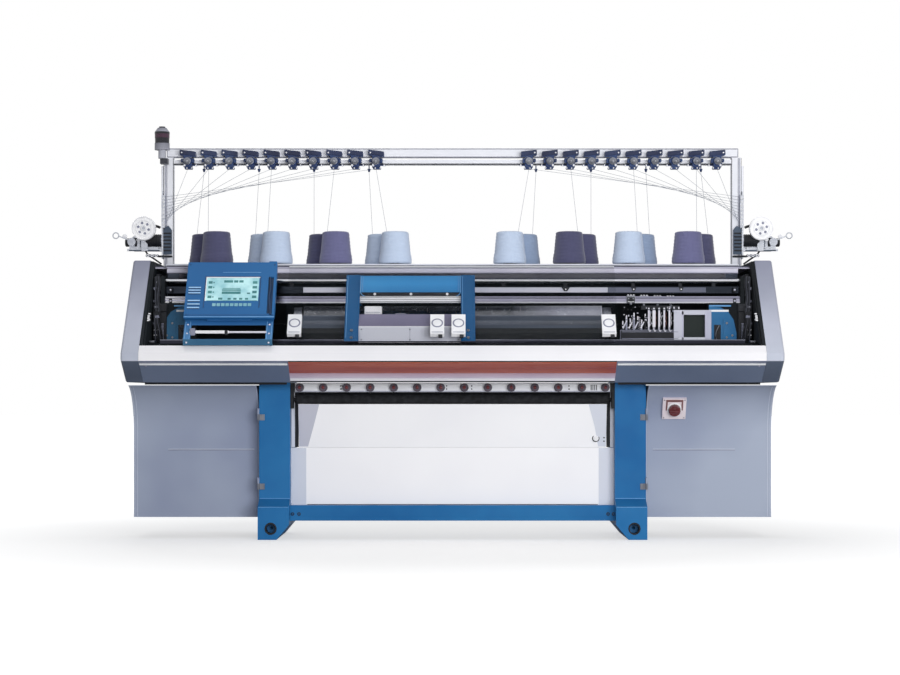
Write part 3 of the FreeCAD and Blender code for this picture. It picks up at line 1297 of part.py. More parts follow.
def make_take_down():
    bar = block("take_down_rail", "-leg_inner", "take_front", "take_z",
                "2 * leg_inner", "take_deep", "take_high")
    side = block("take_down_side", "leg_inner - take_side", "take_front", "take_side_z",
                 "take_side", "take_side_deep", "take_z - take_side_z")
    roller_out = "(roller_round + roller_nip)"
    holes = [
        rod(f"roller_hole_{index}", "X", "-leg_inner", f"gap_line {sign} {roller_out}",
            "roller_z", "roller_shaft + fit_gap", "2 * leg_inner")
        for index, sign in enumerate(("-", "+"))
    ]
    frame = fuse("take_down_solid", [bar, mirror("take_down_left_side", side), side])
    node(cut("take_down_frame", frame, fuse("roller_holes", holes)))

    knobs = [
        rod(f"take_down_knob_{index}", "Y",
            f"({index} - (knob_count - 1) / 2) * knob_pitch",
            "take_front - knob_long", "take_z + take_high / 2", "knob_round", "knob_long")
        for index in range(int(size("knob_count")))
    ]
    node(group("take_down_knobs", knobs))

    shaft_half = "(leg_inner - 1)"
    barrel = rod("front_roller_barrel", "X", "-roller_half", f"gap_line - {roller_out}",
                 "roller_z", "roller_round", "2 * roller_half")
    shaft = rod("front_roller_shaft", "X", f"-{shaft_half}", f"gap_line - {roller_out}",
                "roller_z", "roller_shaft", f"2 * {shaft_half}")
    front = fuse("front_take_down_roller", [barrel, shaft])
    node(front, mirror("rear_take_down_roller", front, "Y"))


def make_chute():
    lower_front = "bin_front"
    panel = profile("chute_sheet", [
        (lower_front, "chute_low"),
        ("chute_top_front", "chute_top"),
        ("chute_top_front + sheet", "chute_top"),
        (f"{lower_front} + sheet", "chute_low"),
    ], "-chute_half", "2 * chute_half")
    knob_z = "(chute_low + chute_knob_up)"
    lean = "((bin_front - chute_top_front) / (chute_top - chute_low))"
    knob = rod("chute_knob_disc", "Y", "knob_x",
               f"bin_front - chute_knob_up * {lean} - chute_knob", knob_z,
               "chute_knob", "chute_knob + sheet / 2")
    hinge = rod("chute_hinge_edge", "X", "-chute_half", "bin_front + sheet / 2", "chute_low",
                "sheet / 2", "2 * chute_half")
    node(fuse("upper_chute_panel", [panel, knob, hinge]))

    floor = "(cross_z + cross_high)"
    front_high = f"(chute_low - sheet / 2 - slide_gap - {floor})"
    rear = "(bin_front + bin_deep)"
    trough = profile("bin_trough", [
        ("bin_front", floor),
        ("bin_front", f"{floor} + {front_high}"),
        ("bin_front + sheet", f"{floor} + {front_high}"),
        ("bin_front + sheet", f"{floor} + sheet"),
        (f"{rear} - sheet", f"{floor} + sheet"),
        (f"{rear} - sheet", f"{floor} + bin_rear_high"),
        (rear, f"{floor} + bin_rear_high"),
        (rear, floor),
    ], "-bin_half", "2 * bin_half")

    front = block("bin_side_front", "bin_half", "bin_front", floor, "leg_inner - bin_half",
                  "sheet", front_high)
    wall = block("bin_side_wall", "bin_half", "bin_front", floor, "sheet", "bin_deep",
                 front_high)
    right = fuse("right_bin_side", [front, wall])
    node(fuse("fabric_bin", [mirror("left_bin_side", right), trough, right]))


# ---------------------------------------------------------------- carriage drive

def make_drive():
    inner = "(pulley_round + belt_gap)"
    outer = "(pulley_round + belt_gap + belt_thick)"

    def loop(name, radius):
        """Stadium of two round ends and a straight middle."""
        return fuse(name, [
            rod(f"{name}_left", "Y", "-pulley_x", "pulley_front", "pulley_z", radius,
                "pulley_wide"),
            rod(f"{name}_right", "Y", "pulley_x", "pulley_front", "pulley_z", radius,
                "pulley_wide"),
            block(f"{name}_middle", "-pulley_x", "pulley_front", f"pulley_z - {radius}",
                  "2 * pulley_x", "pulley_wide", f"2 * {radius}"),
        ])

    node(cut("toothed_belt", loop("belt_outer", outer), loop("belt_inner", inner)))

    wheel = rod("pulley_disc", "Y", "pulley_x", "pulley_front", "pulley_z", "pulley_round",
                "pulley_wide")
    bore = rod("pulley_bore", "Y", "pulley_x", "pulley_front", "pulley_z",
               "roller_shaft + fit_gap", "pulley_wide")
    drive = cut("drive_pulley", wheel, bore)
    node(drive, mirror("idler_pulley", drive))

    shaft = rod("motor_shaft", "Y", "pulley_x", "pulley_front", "pulley_z", "roller_shaft",
                "motor_front - pulley_front")
    motor = rod("motor_body", "Y", "pulley_x", "motor_front", "pulley_z", "motor_round",
                "table_rear - motor_front")
    node(fuse("drive_motor", [shaft, motor]))

    axle = rod("idler_axle", "Y", "-pulley_x", "pulley_front", "pulley_z", "roller_shaft",
               "motor_front - pulley_front")
    stand = block("idler_block", "-pulley_x - motor_round", "motor_front",
                  "pulley_z - motor_round", "2 * motor_round", "table_rear - motor_front",
                  "2 * motor_round")
    node(fuse("belt_tensioner", [axle, stand]))


# ---------------------------------------------------------------- build and write

make_legs()
make_crossbeams()
make_bed_frame()
make_side_caps()
make_covers()
make_needle_beds()
make_rails()
make_end_castings()
make_carriage()
make_cam_boxes()
make_yarn_carriers()
make_yarn_clamp()
make_windows()
make_control_panel()
make_panel_bracket()
make_creel_table()
make_creel_frame()
make_yarn_control_units()
make_cones()
make_yarns()
make_side_feeders()
make_cabinets()
make_cabinet_doors()
make_main_switch()
make_signal_lamp()
make_take_down()
make_chute()
make_drive()

doc.recompute()

for thing in doc.Objects:
    if "Invalid" in thing.State or "Error" in thing.State:
        raise RuntimeError(f"{thing.Name} failed: {thing.State}")
for piece in NODES:
    if piece.Shape.isNull() or not piece.Shape.isValid():
        raise RuntimeError(f"{piece.Label} has no valid shape")

os.makedirs("parts", exist_ok=True)
for piece in NODES:
    piece.Shape.exportStep(f"parts/{piece.Label}.step")
print(f"{len(NODES)} sub-parts written")
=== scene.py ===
import itertools
import math
import random

import bmesh
import bpy
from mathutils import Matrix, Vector


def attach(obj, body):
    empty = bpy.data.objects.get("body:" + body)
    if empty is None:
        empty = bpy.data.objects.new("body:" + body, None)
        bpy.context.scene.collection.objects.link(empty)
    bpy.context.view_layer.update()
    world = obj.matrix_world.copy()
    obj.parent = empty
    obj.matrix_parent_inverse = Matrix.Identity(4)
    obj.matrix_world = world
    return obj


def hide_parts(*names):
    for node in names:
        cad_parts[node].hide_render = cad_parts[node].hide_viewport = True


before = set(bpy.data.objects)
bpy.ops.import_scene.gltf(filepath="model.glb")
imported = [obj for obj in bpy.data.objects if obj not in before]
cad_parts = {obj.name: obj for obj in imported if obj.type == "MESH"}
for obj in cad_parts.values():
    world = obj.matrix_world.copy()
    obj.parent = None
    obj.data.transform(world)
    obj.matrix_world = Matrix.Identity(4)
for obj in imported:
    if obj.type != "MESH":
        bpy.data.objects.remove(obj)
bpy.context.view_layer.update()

HALF_DEPTH = 0.450  # nose plane to the middle of the machine, in metres


def at(x, depth, z):
    """Point from millimetres: along the beds, behind the nose plane and above the floor."""
    return Vector((x / 1000, depth / 1000 - HALF_DEPTH, z / 1000))


# ------------------------------------------------------------------ colours and nodes

PATCH = 300  # millimetres across a patch of tone, on finishes that change with height


def srgb(code):
    """Linear colour of an sRGB hex code."""
    parts = [int(code[i:i + 2], 16) / 255 for i in (0, 2, 4)]
    return [c / 12.92 if c <= 0.04045 else ((c + 0.055) / 1.055) ** 2.4 for c in parts] + [1.0]


def add(tree, kind, sockets=None, **settings):
    """Adds a node with its settings, and its sockets' values or links."""
    made = tree.nodes.new("ShaderNode" + kind)
    for name, value in settings.items():
        setattr(made, name, value)
    for name, value in (sockets or {}).items():
        if isinstance(value, bpy.types.NodeSocket):
            tree.links.new(value, made.inputs[name])
        else:
            made.inputs[name].default_value = value
    return made


def feed(tree, shader, **outputs):
    """Links outputs to a shader's sockets, with _ for a space in a socket's name."""
    for socket, output in outputs.items():
        tree.links.new(output, shader.inputs[socket.replace("_", " ")])


def per_mm(size):
    """Scale of a pattern in object space, which is in metres, from its size in millimetres."""
    return 1000 / size


def start(name, roughness=0.5, **sockets):
    """New material with its shader, output and object coordinates."""
    made = bpy.data.materials.new(name)
    made.use_nodes = True
    tree = made.node_tree
    tree.nodes.clear()
    shader = add(tree, "BsdfPrincipled", {"Roughness": roughness})
    for socket, value in sockets.items():
        shader.inputs[socket.replace("_", " ")].default_value = value
    feed(tree, add(tree, "OutputMaterial"), Surface=shader.outputs["BSDF"])
    place = add(tree, "TexCoord").outputs["Object"]
    return made, tree, shader, place


def grain(tree, place, size, detail=2.0, stretch=(1, 1, 1)):
    """Soft noise in spots of a size in millimetres."""
    spread = add(tree, "Mapping", {"Vector": place, "Scale": stretch})
    return add(tree, "TexNoise", {
        "Vector": spread.outputs["Vector"], "Scale": per_mm(size),
        "Detail": detail}).outputs["Fac"]


def ramp(tree, factor, stops):
    """Colour ramp of (position, sRGB hex) stops."""
    made = add(tree, "ValToRGB", {"Fac": factor})
    elements = made.color_ramp.elements
    for end in (0, -1):
        elements[end].position = stops[end][0]
        elements[end].color = srgb(stops[end][1])
    for position, code in stops[1:-1]:
        elements.new(position).color = srgb(code)
    return made.outputs["Color"]


def mottle(tree, place, dark, light, size, detail=3.0, stretch=(1, 1, 1)):
    """Colour that wanders between two tones, in patches of a size in millimetres."""
    return ramp(tree, grain(tree, place, size, detail, stretch), [(0.35, dark), (0.65, light)])


def rough(tree, place, low, high, size, stretch=(1, 1, 1)):
    """Roughness that wanders between two values, as handled surfaces do."""
    return add(tree, "MapRange", {
        "Value": grain(tree, place, size, 4.0, stretch), "From Min": 0.3, "From Max": 0.7,
        "To Min": low, "To Max": high}).outputs["Result"]


def relief(tree, height, depth_mm, normal=None):
    """Normal from a height, whose full range is a depth in millimetres."""
    sockets = {"Height": height, "Distance": depth_mm / 1000, "Strength": 1.0}
    if normal is not None:
        sockets["Normal"] = normal
    return add(tree, "Bump", sockets).outputs["Normal"]


def by_height(tree, place, bands):
    """Two wandering tones that change with height; a band with two heights holds its tones."""
    stops = [(height, (dark, light)) for *heights, dark, light in bands for height in heights]
    low, high = stops[0][0], stops[-1][0]
    share = add(tree, "MapRange", {
        "Value": add(tree, "SeparateXYZ", {"Vector": place}).outputs["Z"],
        "From Min": low / 1000, "From Max": high / 1000}).outputs["Result"]
    dark, light = [
        ramp(tree, share, [((height - low) / (high - low), tones[tone]) for height, tones in stops])
        for tone in (0, 1)]
    patches = add(tree, "MapRange", {
        "Value": grain(tree, place, PATCH, 3.0), "From Min": 0.35, "From Max": 0.65})
    return add(tree, "Mix", {0: patches.outputs["Result"], 6: dark, 7: light},
               data_type="RGBA").outputs[2]


def paint_of(made):
    """Tree, shader and object coordinates of a finish."""
    tree = made.node_tree
    shader = next(n for n in tree.nodes if n.type == "BSDF_PRINCIPLED")
    place = next(n for n in tree.nodes if n.type == "TEX_COORD").outputs["Object"]
    return tree, shader, place


def repaint(made, bands):
    """Gives a finish two tones that change with height: (millimetres, dark, light) bands."""
    tree, shader, place = paint_of(made)
    feed(tree, shader, Base_Color=by_height(tree, place, bands))
    return made


def repaint_between(made, low, high, bands, fade=0.5):
    """Gives a finish other tones between two places across the machine, in millimetres."""
    tree, shader, place = paint_of(made)
    across = add(tree, "SeparateXYZ", {"Vector": place}).outputs["X"]
    middle, half = (low + high) / 2000, (high - low) / 2000
    away = add(tree, "Math", {0: across, 1: middle}, operation="SUBTRACT").outputs["Value"]
    away = add(tree, "Math", {0: away}, operation="ABSOLUTE").outputs["Value"]
    share = add(tree, "MapRange", {
        "Value": away, "From Min": half, "From Max": half + fade / 1000,
        "To Min": 1.0, "To Max": 0.0}).outputs["Result"]
    before = shader.inputs["Base Color"].links[0].from_socket
    mixed = add(tree, "Mix", {0: share, 6: before, 7: by_height(tree, place, bands)},
                data_type="RGBA")
    feed(tree, shader, Base_Color=mixed.outputs[2])
    return made


# ------------------------------------------------------------------ materials

def surface(name, tones, patch, roughness, wander, spots, stretch=(1, 1, 1), detail=3.0,
            **sockets):
    """New material whose tones wander in patches, and its roughness in spots."""
    made, tree, shader, place = start(name, roughness, **sockets)
    below, above = wander
    feed(tree, shader,
         Base_Color=mottle(tree, place, *tones, patch, detail, stretch),
         Roughness=rough(tree, place, roughness - below, roughness + above, spots, stretch))
    return made, tree, shader, place


def powder_coated_steel(name, dark, light, roughness=0.42, coat=0.0):
    """Powder-coated sheet steel: an even, slightly soft gloss over a fine orange-peel skin."""
    made, tree, shader, place = surface(
        name, (dark, light), 900, roughness, (0.06, 0.08), 160,
        Coat_Weight=coat, Coat_Roughness=0.15, Specular_IOR_Level=0.3)
    # Orange peel is 1 to 2 mm across; it is drawn at 3 mm so that it shows at this distance.
    feed(tree, shader, Normal=relief(tree, grain(tree, place, 3), 0.02))
    return made


def enamelled_casting(name, dark, light, roughness=0.38):
    """Enamelled cast iron: a thick glossy paint over the casting's soft waves."""
    made, tree, shader, place = surface(
        name, (dark, light), 350, roughness, (0.08, 0.1), 90,
        Coat_Weight=0.1, Coat_Roughness=0.2, Specular_IOR_Level=0.3)
    waves = relief(tree, grain(tree, place, 14, 3.0), 0.12)
    feed(tree, shader, Normal=relief(tree, grain(tree, place, 2), 0.02, waves))
    return made


def drawn_metal(name, dark, light, roughness, along, line=0.8, metallic=1.0):
    """Metal with fine lines along its length, left by drawing, grinding or brushing."""
    squeeze = [0.02 if axis == along else 1.0 for axis in "XYZ"]
    made, tree, shader, place = surface(
        name, (dark, light), 40, roughness, (0.06, 0.1), 12, squeeze, Metallic=metallic)
    # The lines are under 0.1 mm wide; they are drawn wider so that they show.
    feed(tree, shader, Normal=relief(tree, grain(tree, place, line, 3.0, squeeze), 0.01))
    return made


def moulded_plastic(name, dark, light, roughness=0.4, skin_mm=0.03, coat=0.0):
    """Injection-moulded ABS: an even colour with a fine spark-eroded skin."""
    made, tree, shader, place = surface(
        name, (dark, light), 120, roughness, (0.05, 0.07), 30,
        Coat_Weight=coat, Coat_Roughness=0.1, IOR=1.53)
    feed(tree, shader, Normal=relief(tree, grain(tree, place, 1.2), skin_mm))
    return made


def cut_rubber(name, dark, light):
    """Neoprene and nitrile rubber: dull, with a dusty bloom."""
    made, tree, shader, place = surface(name, (dark, light), 25, 0.75, (0.1, 0.1), 18)
    feed(tree, shader, Normal=relief(tree, grain(tree, place, 1.5, 4.0), 0.06))
    return made


def clear_polycarbonate(name, dark, light):
    """Clear polycarbonate sheet 5 mm thick: nearly no colour, with a faint smoky film."""
    return surface(name, (dark, light), 200, 0.04, (0.01, 0.08), 120, IOR=1.2, Alpha=0.06)[0]


def copper_lacquer(name, dark, light):
    """Copper-coloured lacquer over polished sheet: deep red-brown with a long soft gleam."""
    return surface(name, (dark, light), 60, 0.3, (0.12, 0.02), 45, (0.05, 1.0, 1.0), 2.0,
                   Metallic=0.15, Coat_Weight=0.4, Coat_Roughness=0.1)[0]


def wound_yarn(name, dark, light, pitch_mm=2.4):
    """Cross-wound cotton on a cone: fine diagonal turns with a soft fuzzy edge."""
    made, tree, shader, place = start(name, 0.9, Sheen_Weight=0.35, Sheen_Roughness=0.5)
    # A turn is about 0.8 mm apart on the real cone; it is drawn coarser so that it shows.
    bands = []
    for lean in (0.22, -0.22):
        turned_place = add(tree, "Mapping", {"Vector": place, "Rotation": (lean, lean, 0.0)})
        bands.append(add(tree, "TexWave", {
            "Vector": turned_place.outputs["Vector"], "Scale": per_mm(pitch_mm) / 6.3,
            "Distortion": 0.6, "Detail": 2.0, "Detail Scale": 2.0},
            bands_direction="Z").outputs["Fac"])
    crossed = add(tree, "Math", {0: bands[0], 1: bands[1]}, operation="ADD")
    soft = add(tree, "MapRange", {"Value": crossed.outputs["Value"], "From Max": 2.0})
    mixed = add(tree, "Mix", {"Factor": 0.35, "A": soft.outputs["Result"],
                              "B": grain(tree, place, 1.5, 4.0)}).outputs["Result"]
    feed(tree, shader, Base_Color=ramp(tree, mixed, [(0.25, dark), (0.7, light)]),
         Normal=relief(tree, mixed, 0.5))
    return made


def screen_glass(name):
    """Lit colour screen behind anti-glare glass: pale wandering tones of grey-green."""
    made, tree, shader, place = start(name, 0.25, Emission_Strength=0.45)
    feed(tree, shader, Base_Color=mottle(tree, place, "86b3ba", "a9cdd0", 70),
         Emission_Color=mottle(tree, place, "6ba3ad", "a0cbd0", 70),
         Normal=relief(tree, grain(tree, place, 1.0), 0.01))
    return made


COVER = powder_coated_steel("powder_coated_cover", "8b94ac", "a6afc1")
# The cap turns slate below the crease, partly its two-tone paint and partly painted shade on the
# face that looks down; it grows darker towards its top, a painted reflection.
CAP = repaint(powder_coated_steel("powder_coated_cap", "aab0c0", "b9bece", 0.36, 0.05), [
    (780, "4c5669", "566074"), (893, "525d70", "5d687b"), (896, "b3b9c8", "bfc4d1"),
    (1080, "aeb2c2", "b9bdcd"), (1414, "84879a", "9093a6")])
NOSE = powder_coated_steel("powder_coated_nose", "e6e6ea", "f1f0f3", 0.34)
# The aprons' slate is partly their paint and partly painted shade on faces that look down. Between
# the legs, black at 791-797 is painted shade under the lip, white at 799-809 is the lip, and the
# lilac to pink above it is a painted reflection of the copper flap.
APRON = repaint_between(
    powder_coated_steel("powder_coated_apron", "5c6880", "6c7890", 0.4), -807, 807, [
        (791, 797, "121418", "1a1d22"), (799, 809, "f1eff4", "f9f7fb"),
        (812, "cbbfd2", "d8cddd"), (836, "b996a7", "c8a6b5")])
CHUTE = powder_coated_steel("powder_coated_chute", "f3f3f7", "fbfbfd", 0.4)
STRIP = powder_coated_steel("powder_coated_strip", "ced3df", "dcdfe9", 0.4)
# Grey of the park box's cover plates, and painted shade on the chute's left gusset.
GUSSET = powder_coated_steel("powder_coated_gusset", "bcbecc", "cacbd7", 0.45)
# Pale tone of the louvres and seam behind the cabinets, and painted highlights on the doors' bar
# and beads.
DOOR_EDGE = powder_coated_steel("pale_edge_paint_and_highlight", "b4bbcc", "c5cbd9", 0.38)
PANEL_BLUE = powder_coated_steel("powder_coated_blue", "205a92", "27669f", 0.36, 0.05)
# Light blue for lines along edges, bends and rounded corners: painted highlights.
LIGHT_BLUE_HIGHLIGHT = powder_coated_steel("light_blue_painted_highlight", "5f97cc", "78abd9", 0.3)
# Light blue of the panel's vent lips: painted highlights.
VENT_HIGHLIGHT = powder_coated_steel("vent_painted_highlight", "93c3ec", "b3d8f6", 0.3)
BRACKET = repaint(powder_coated_steel("powder_coated_bracket", "2b5c88", "376a96", 0.4), [
    (971, 999, "2d5878", "3a6684"), (1003, "3d72a4", "4c81b2"), (1050, "35699c", "4176a8"),
    (1080, "2a5f97", "346aa2"), (1104, "215489", "2a5f94")])
CAM = powder_coated_steel("powder_coated_cam_box", "b4b5c8", "c6c6d6", 0.35)
CAM_FACE = powder_coated_steel("powder_coated_cam_face", "c9ccd8", "dcdee6", 0.34)
CAM_TOP = repaint(powder_coated_steel("powder_coated_cam_box_top", "8d8aa3", "9d9ab1", 0.35), [
    (988, "c2c4d2", "cfd1dc"), (1069, "cfd1dc", "dcdde6"), (1072, "6f6b87", "7c7893"),
    (1131, "7d7996", "8a86a1"), (1134, "55536a", "626078")])
TABLE = repaint(powder_coated_steel("powder_coated_table", "a6a8ba", "b9bacb"), [
    (1349, "77788c", "88899c"), (1356, "c1c0d2", "d0cfde"), (1368, "d3d2e0", "e0dfea"),
    (1379, "a3a2b6", "b3b2c4"), (1382, 1387, "40424e", "4d4f5c"),
    (1389, 1395, "c6c9d3", "d6d9e1")])
POST = powder_coated_steel("satin_anodised_aluminium", "e6e8f0", "f2f3f8", 0.3)
SCALE = powder_coated_steel("anodised_scale_strip", "b4b6c6", "cfd0dc", 0.3)
FINGER = powder_coated_steel("bright_zinc_finger", "c9c8d4", "e9e8ef", 0.3)
LOCK_STRIP = powder_coated_steel("blackened_lock_strip", "3a414d", "4b5361", 0.4)
SLATE = powder_coated_steel("slate_strip", "555968", "6d7080", 0.4)
# Black of the bed frame and end castings, partly their paint and partly painted shade deep inside
# the ends; the linings use it as painted shade.
DARK_PAINT_AND_SHADE = powder_coated_steel("matt_black_paint_and_shade", "14171a", "1f2428", 0.7)
# Dark green-grey of the plate at the back of the parking box's recess: painted shade.
RECESS = powder_coated_steel("dark_green_grey_recess_shade", "262b2a", "363c3b", 0.6)

BLUE = enamelled_casting("enamelled_blue", "1a609a", "2870a8")
DARK_BLUE = enamelled_casting("enamelled_dark_blue", "24527f", "2d5f8f")
CASTING_BLUE = enamelled_casting("enamelled_casting_blue", "1f5684", "2d6a98")
# A lighter copy of the casting blue for the left casting front, which stands in the shade: painted
# light.
LIT_COPY_BLUE = enamelled_casting("enamelled_blue_painted_light", "2f6288", "3f769a")
BOW_BLUE = repaint_between(
    enamelled_casting("enamelled_bow_blue", "155081", "1d5b8f"), -466, 42,
    [(1240, "2671ae", "317fba"), (1290, "348bca", "4096d2"), (1334, "2c7cb9", "3789c4")])

GROUND = drawn_metal("ground_steel", "9b9ea8", "b9bcc5", 0.3, "X")
# Black on the beds' lower front is painted shade; the grey band at 1067-1130 is the lock strip.
# Above 1133 the beds are dark, and bright only between 560 and 765 along them, a painted
# reflection.
BED = repaint_between(repaint(
    drawn_metal("ground_bed_steel", "9b9ea8", "b9bcc5", 0.34, "X", metallic=0.3), [
        (985, "0f1214", "16191c"), (1064, "121518", "1a1d21"), (1067, "434955", "505765"),
        (1130, "505764", "5f6675"), (1133, "14171a", "1e2225"), (1182, "1a1e21", "262a2e")]),
    560, 765, [
        (985, "111417", "191c20"), (1064, "15181b", "1d2125"), (1067, "42464f", "4d535d"),
        (1130, "50545f", "5e646f"), (1133, "9a9cab", "b3b5c3"), (1182, "b4b6c5", "cfd1dc")],
    fade=260)
# The bands by height paint light and shade onto the rails: the light bands are painted highlights
# and reflections on their edges and round tops, the dark bands painted shade and dark reflections
# between and under them.
RAIL = repaint(drawn_metal("polished_rail_steel", "b9bcc6", "d9dce4", 0.2, "X"), [
    (985, "2d2e38", "3a3b46"), (1000, "34353f", "42434e"), (1003, "8e90a0", "a6a8b6"),
    (1100, "b4b7c4", "cfd2dc"), (1195, 1200, "dcdde8", "f0f1f6"), (1202, "b3b1c6", "c6c4d6"),
    (1217, "b9b7cc", "cac8da"), (1219, 1222, "5f5f70", "707081"),
    (1224, 1240, "b1afc6", "c4c2d6"), (1243, 1283, "33373f", "40454e"),
    (1286, "d5d8e0", "eceef3"), (1300, "dfe2e8", "f0f2f5"), (1302, 1306, "2a2e34", "373c43"),
    (1308, 1331, "e9ecf0", "f7f8fa")])
BEAD = drawn_metal("anodised_aluminium", "cfd3dd", "e6e9f0", 0.3, "X", metallic=0.7)
STEEL = drawn_metal("brushed_steel", "8d9099", "aeb1ba", 0.32, "Z")
NEEDLE = drawn_metal("polished_needle_steel", "b4b7c0", "dcdfe6", 0.2, "Z")
BRIGHT = drawn_metal("streaked_bright_strip", "9fa1ae", "f4f5f8", 0.3, "X", 4.0, metallic=0.2)
# Black below the bar (660 to 742) and past its ends (797 each way) is painted shade in the gaps
# there; the bar's face lightens from 744 up to 789, painted light against the aprons' shadow.
TAKE = repaint_between(
    drawn_metal("bar_steel_painted_light_and_shade", "14161a", "1d2025", 0.4, "X", metallic=0.1), -797, 797, [
        (660, 742, "14161a", "1d2025"), (744, "8e93a6", "a9adbf"), (750, "e0e2ec", "eef0f6"),
        (789, "f2f3f8", "fbfbfd")])

NAVY = moulded_plastic("moulded_navy_abs", "26365f", "33466f", 0.36)
WHITE = moulded_plastic("moulded_white_abs", "e3e4e8", "f2f2f5", 0.32)
WHEEL = moulded_plastic("moulded_bright_abs", "f4f4f6", "fcfcfd", 0.35)
BLACK = moulded_plastic("moulded_black_nylon", "17181c", "24262b", 0.5)
GREY = moulded_plastic("moulded_grey_abs", "7c7f92", "8f92a4", 0.42)
RED = moulded_plastic("moulded_red_phenolic", "602a2e", "7b3a3e", 0.25, coat=0.3)
SCREEN_INK = moulded_plastic("screen_ink_field", "2f7077", "478c8d", 0.3)
INK_BLUE = moulded_plastic("moulded_ink_blue", "15365c", "1d4370", 0.35)
DEEP_BLUE = moulded_plastic("moulded_deep_blue", "0e2a48", "15365c", 0.4)
HOSE = moulded_plastic("ribbed_hose_nylon", "2f3139", "4a4d58", 0.35)
PLATE = moulded_plastic("moulded_pale_plate", "d8cbd2", "e6dce1", 0.4)
SWITCH_BROWN = moulded_plastic("moulded_red_brown_frame", "6e4a48", "80585a", 0.35)
KNOB_FACE = moulded_plastic("moulded_knob_face", "443c48", "59515d", 0.4)
KEY = moulded_plastic("moulded_teal_keys", "6fa9b8", "8cc0ca", 0.35)
HEAD_PLATE = moulded_plastic("moulded_head_plate", "202640", "2e3858", 0.35)
GROOVE = moulded_plastic("shadowed_groove", "6b6c7a", "7d7e8c", 0.6)
COLLAR = moulded_plastic("moulded_slate_collar", "3a4656", "4c596a", 0.4)
THREAD_RED = moulded_plastic("dyed_brown_cotton", "6e4440", "86584f", 0.7)
PAPER = moulded_plastic("wound_paper_core", "b9b3a4", "cbc5b6", 0.8, 0.1)
LAMP = repaint(moulded_plastic("moulded_lamp_tiers", "55565f", "666771", 0.3), [
    (1932, 1958, "2b2c33", "383a42"), (1962, 2002, "a2a4af", "b7b9c3"),
    (2005, "83848f", "9a9ba6"), (2036, "71727d", "878893"), (2039, 2065, "15151a", "1f1f26"),
    (2068, 2085, "36202f", "4a2d40"), (2088, 2096, "121217", "1b1b21"),
    (2099, "8b8c98", "a1a2ae"), (2116, "72737e", "868792"), (2119, 2125, "2a2a31", "35353d")])

RUBBER = cut_rubber("nitrile_rubber", "17181a", "26272b")
CLEAR = clear_polycarbonate("clear_polycarbonate", "1f252a", "2c3339")
COPPER = copper_lacquer("copper_lacquer", "a04a3c", "b8604a")
SCREEN = screen_glass("screen_glass")
PURPLE_YARN = wound_yarn("wound_cotton_purple", "34354c", "5c5c7d")
LILAC_YARN = wound_yarn("wound_cotton_lilac", "4d4e6e", "7a7aa2")
PALE_YARN = wound_yarn("wound_cotton_pale", "a3b6d4", "d3dff0")
BLUE_YARN = wound_yarn("wound_cotton_blue", "70819f", "9fb0ca")
THREAD = wound_yarn("taut_cotton_thread", "6d7482", "8d94a2", 1.2)

NODE_FINISH = {
    BLUE: "left_leg right_leg crossbeams",
    DARK_PAINT_AND_SHADE: "bed_frame end_castings",
    BOW_BLUE: "carriage_bow",
    BRACKET: "panel_bracket",
    PLATE: "main_switch_plate",
    KEY: "panel_keys",
    PANEL_BLUE: "panel_housing",
    CAP: "left_side_cap right_side_cap",
    NOSE: "front_cover",
    APRON: "lower_aprons",
    COVER: "rear_cover left_cabinet right_cabinet left_cabinet_door right_cabinet_door",
    COPPER: "take_down_flap",
    CAM_TOP: "cam_boxes",
    TABLE: "creel_table",
    LAMP: "signal_lamp",
    GROUND: "drive_pulley idler_pulley",
    BED: "needle_beds",
    RAIL: "rails",
    BEAD: "feeder_brackets left_tension_lever right_tension_lever",
    POST: "creel_frame",
    STEEL: "yarn_carrier_1 yarn_carrier_2 yarn_carrier_3 yarn_carrier_4 door_hinge_leaves",
    TAKE: "take_down_frame",
    NAVY: "yarn_control_units",
    WHITE: "left_window_latches right_window_latches",
    WHEEL: "left_feeder_wheel right_feeder_wheel",
    BLACK: "cone_holders drive_motor belt_tensioner",
    GREY: "yarn_clamp_unit",
    RED: "main_switch_knob",
    KNOB_FACE: "take_down_knobs",
    RUBBER: "toothed_belt front_take_down_roller rear_take_down_roller",
    CLEAR: "left_window right_window",
    PURPLE_YARN: "purple_cones",
    PALE_YARN: "pale_cones",
    BLUE_YARN: "blue_cones",
    THREAD: "yarns",
    CHUTE: "upper_chute_panel fabric_bin",
    SCREEN: "panel_screen",
}
for finish, names in NODE_FINISH.items():
    for name in names.split():
        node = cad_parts[name]
        node.data.materials.clear()
        node.data.materials.append(finish)


# ------------------------------------------------------------------ mesh tools

FORWARD = (0, -1, 0)
BACK = (0, 1, 0)
UP = (0, 0, 1)
OUTWARD = {"left": (-1, 0, 0), "right": (1, 0, 0)}


def around(count, radius, first=0, step=None):
    """Offsets round a circle, in equal steps or steps of so many degrees from the first."""
    for index in range(count):
        angle = math.radians(first + index * (step or 360 / count))
        yield radius * math.cos(angle), radius * math.sin(angle)


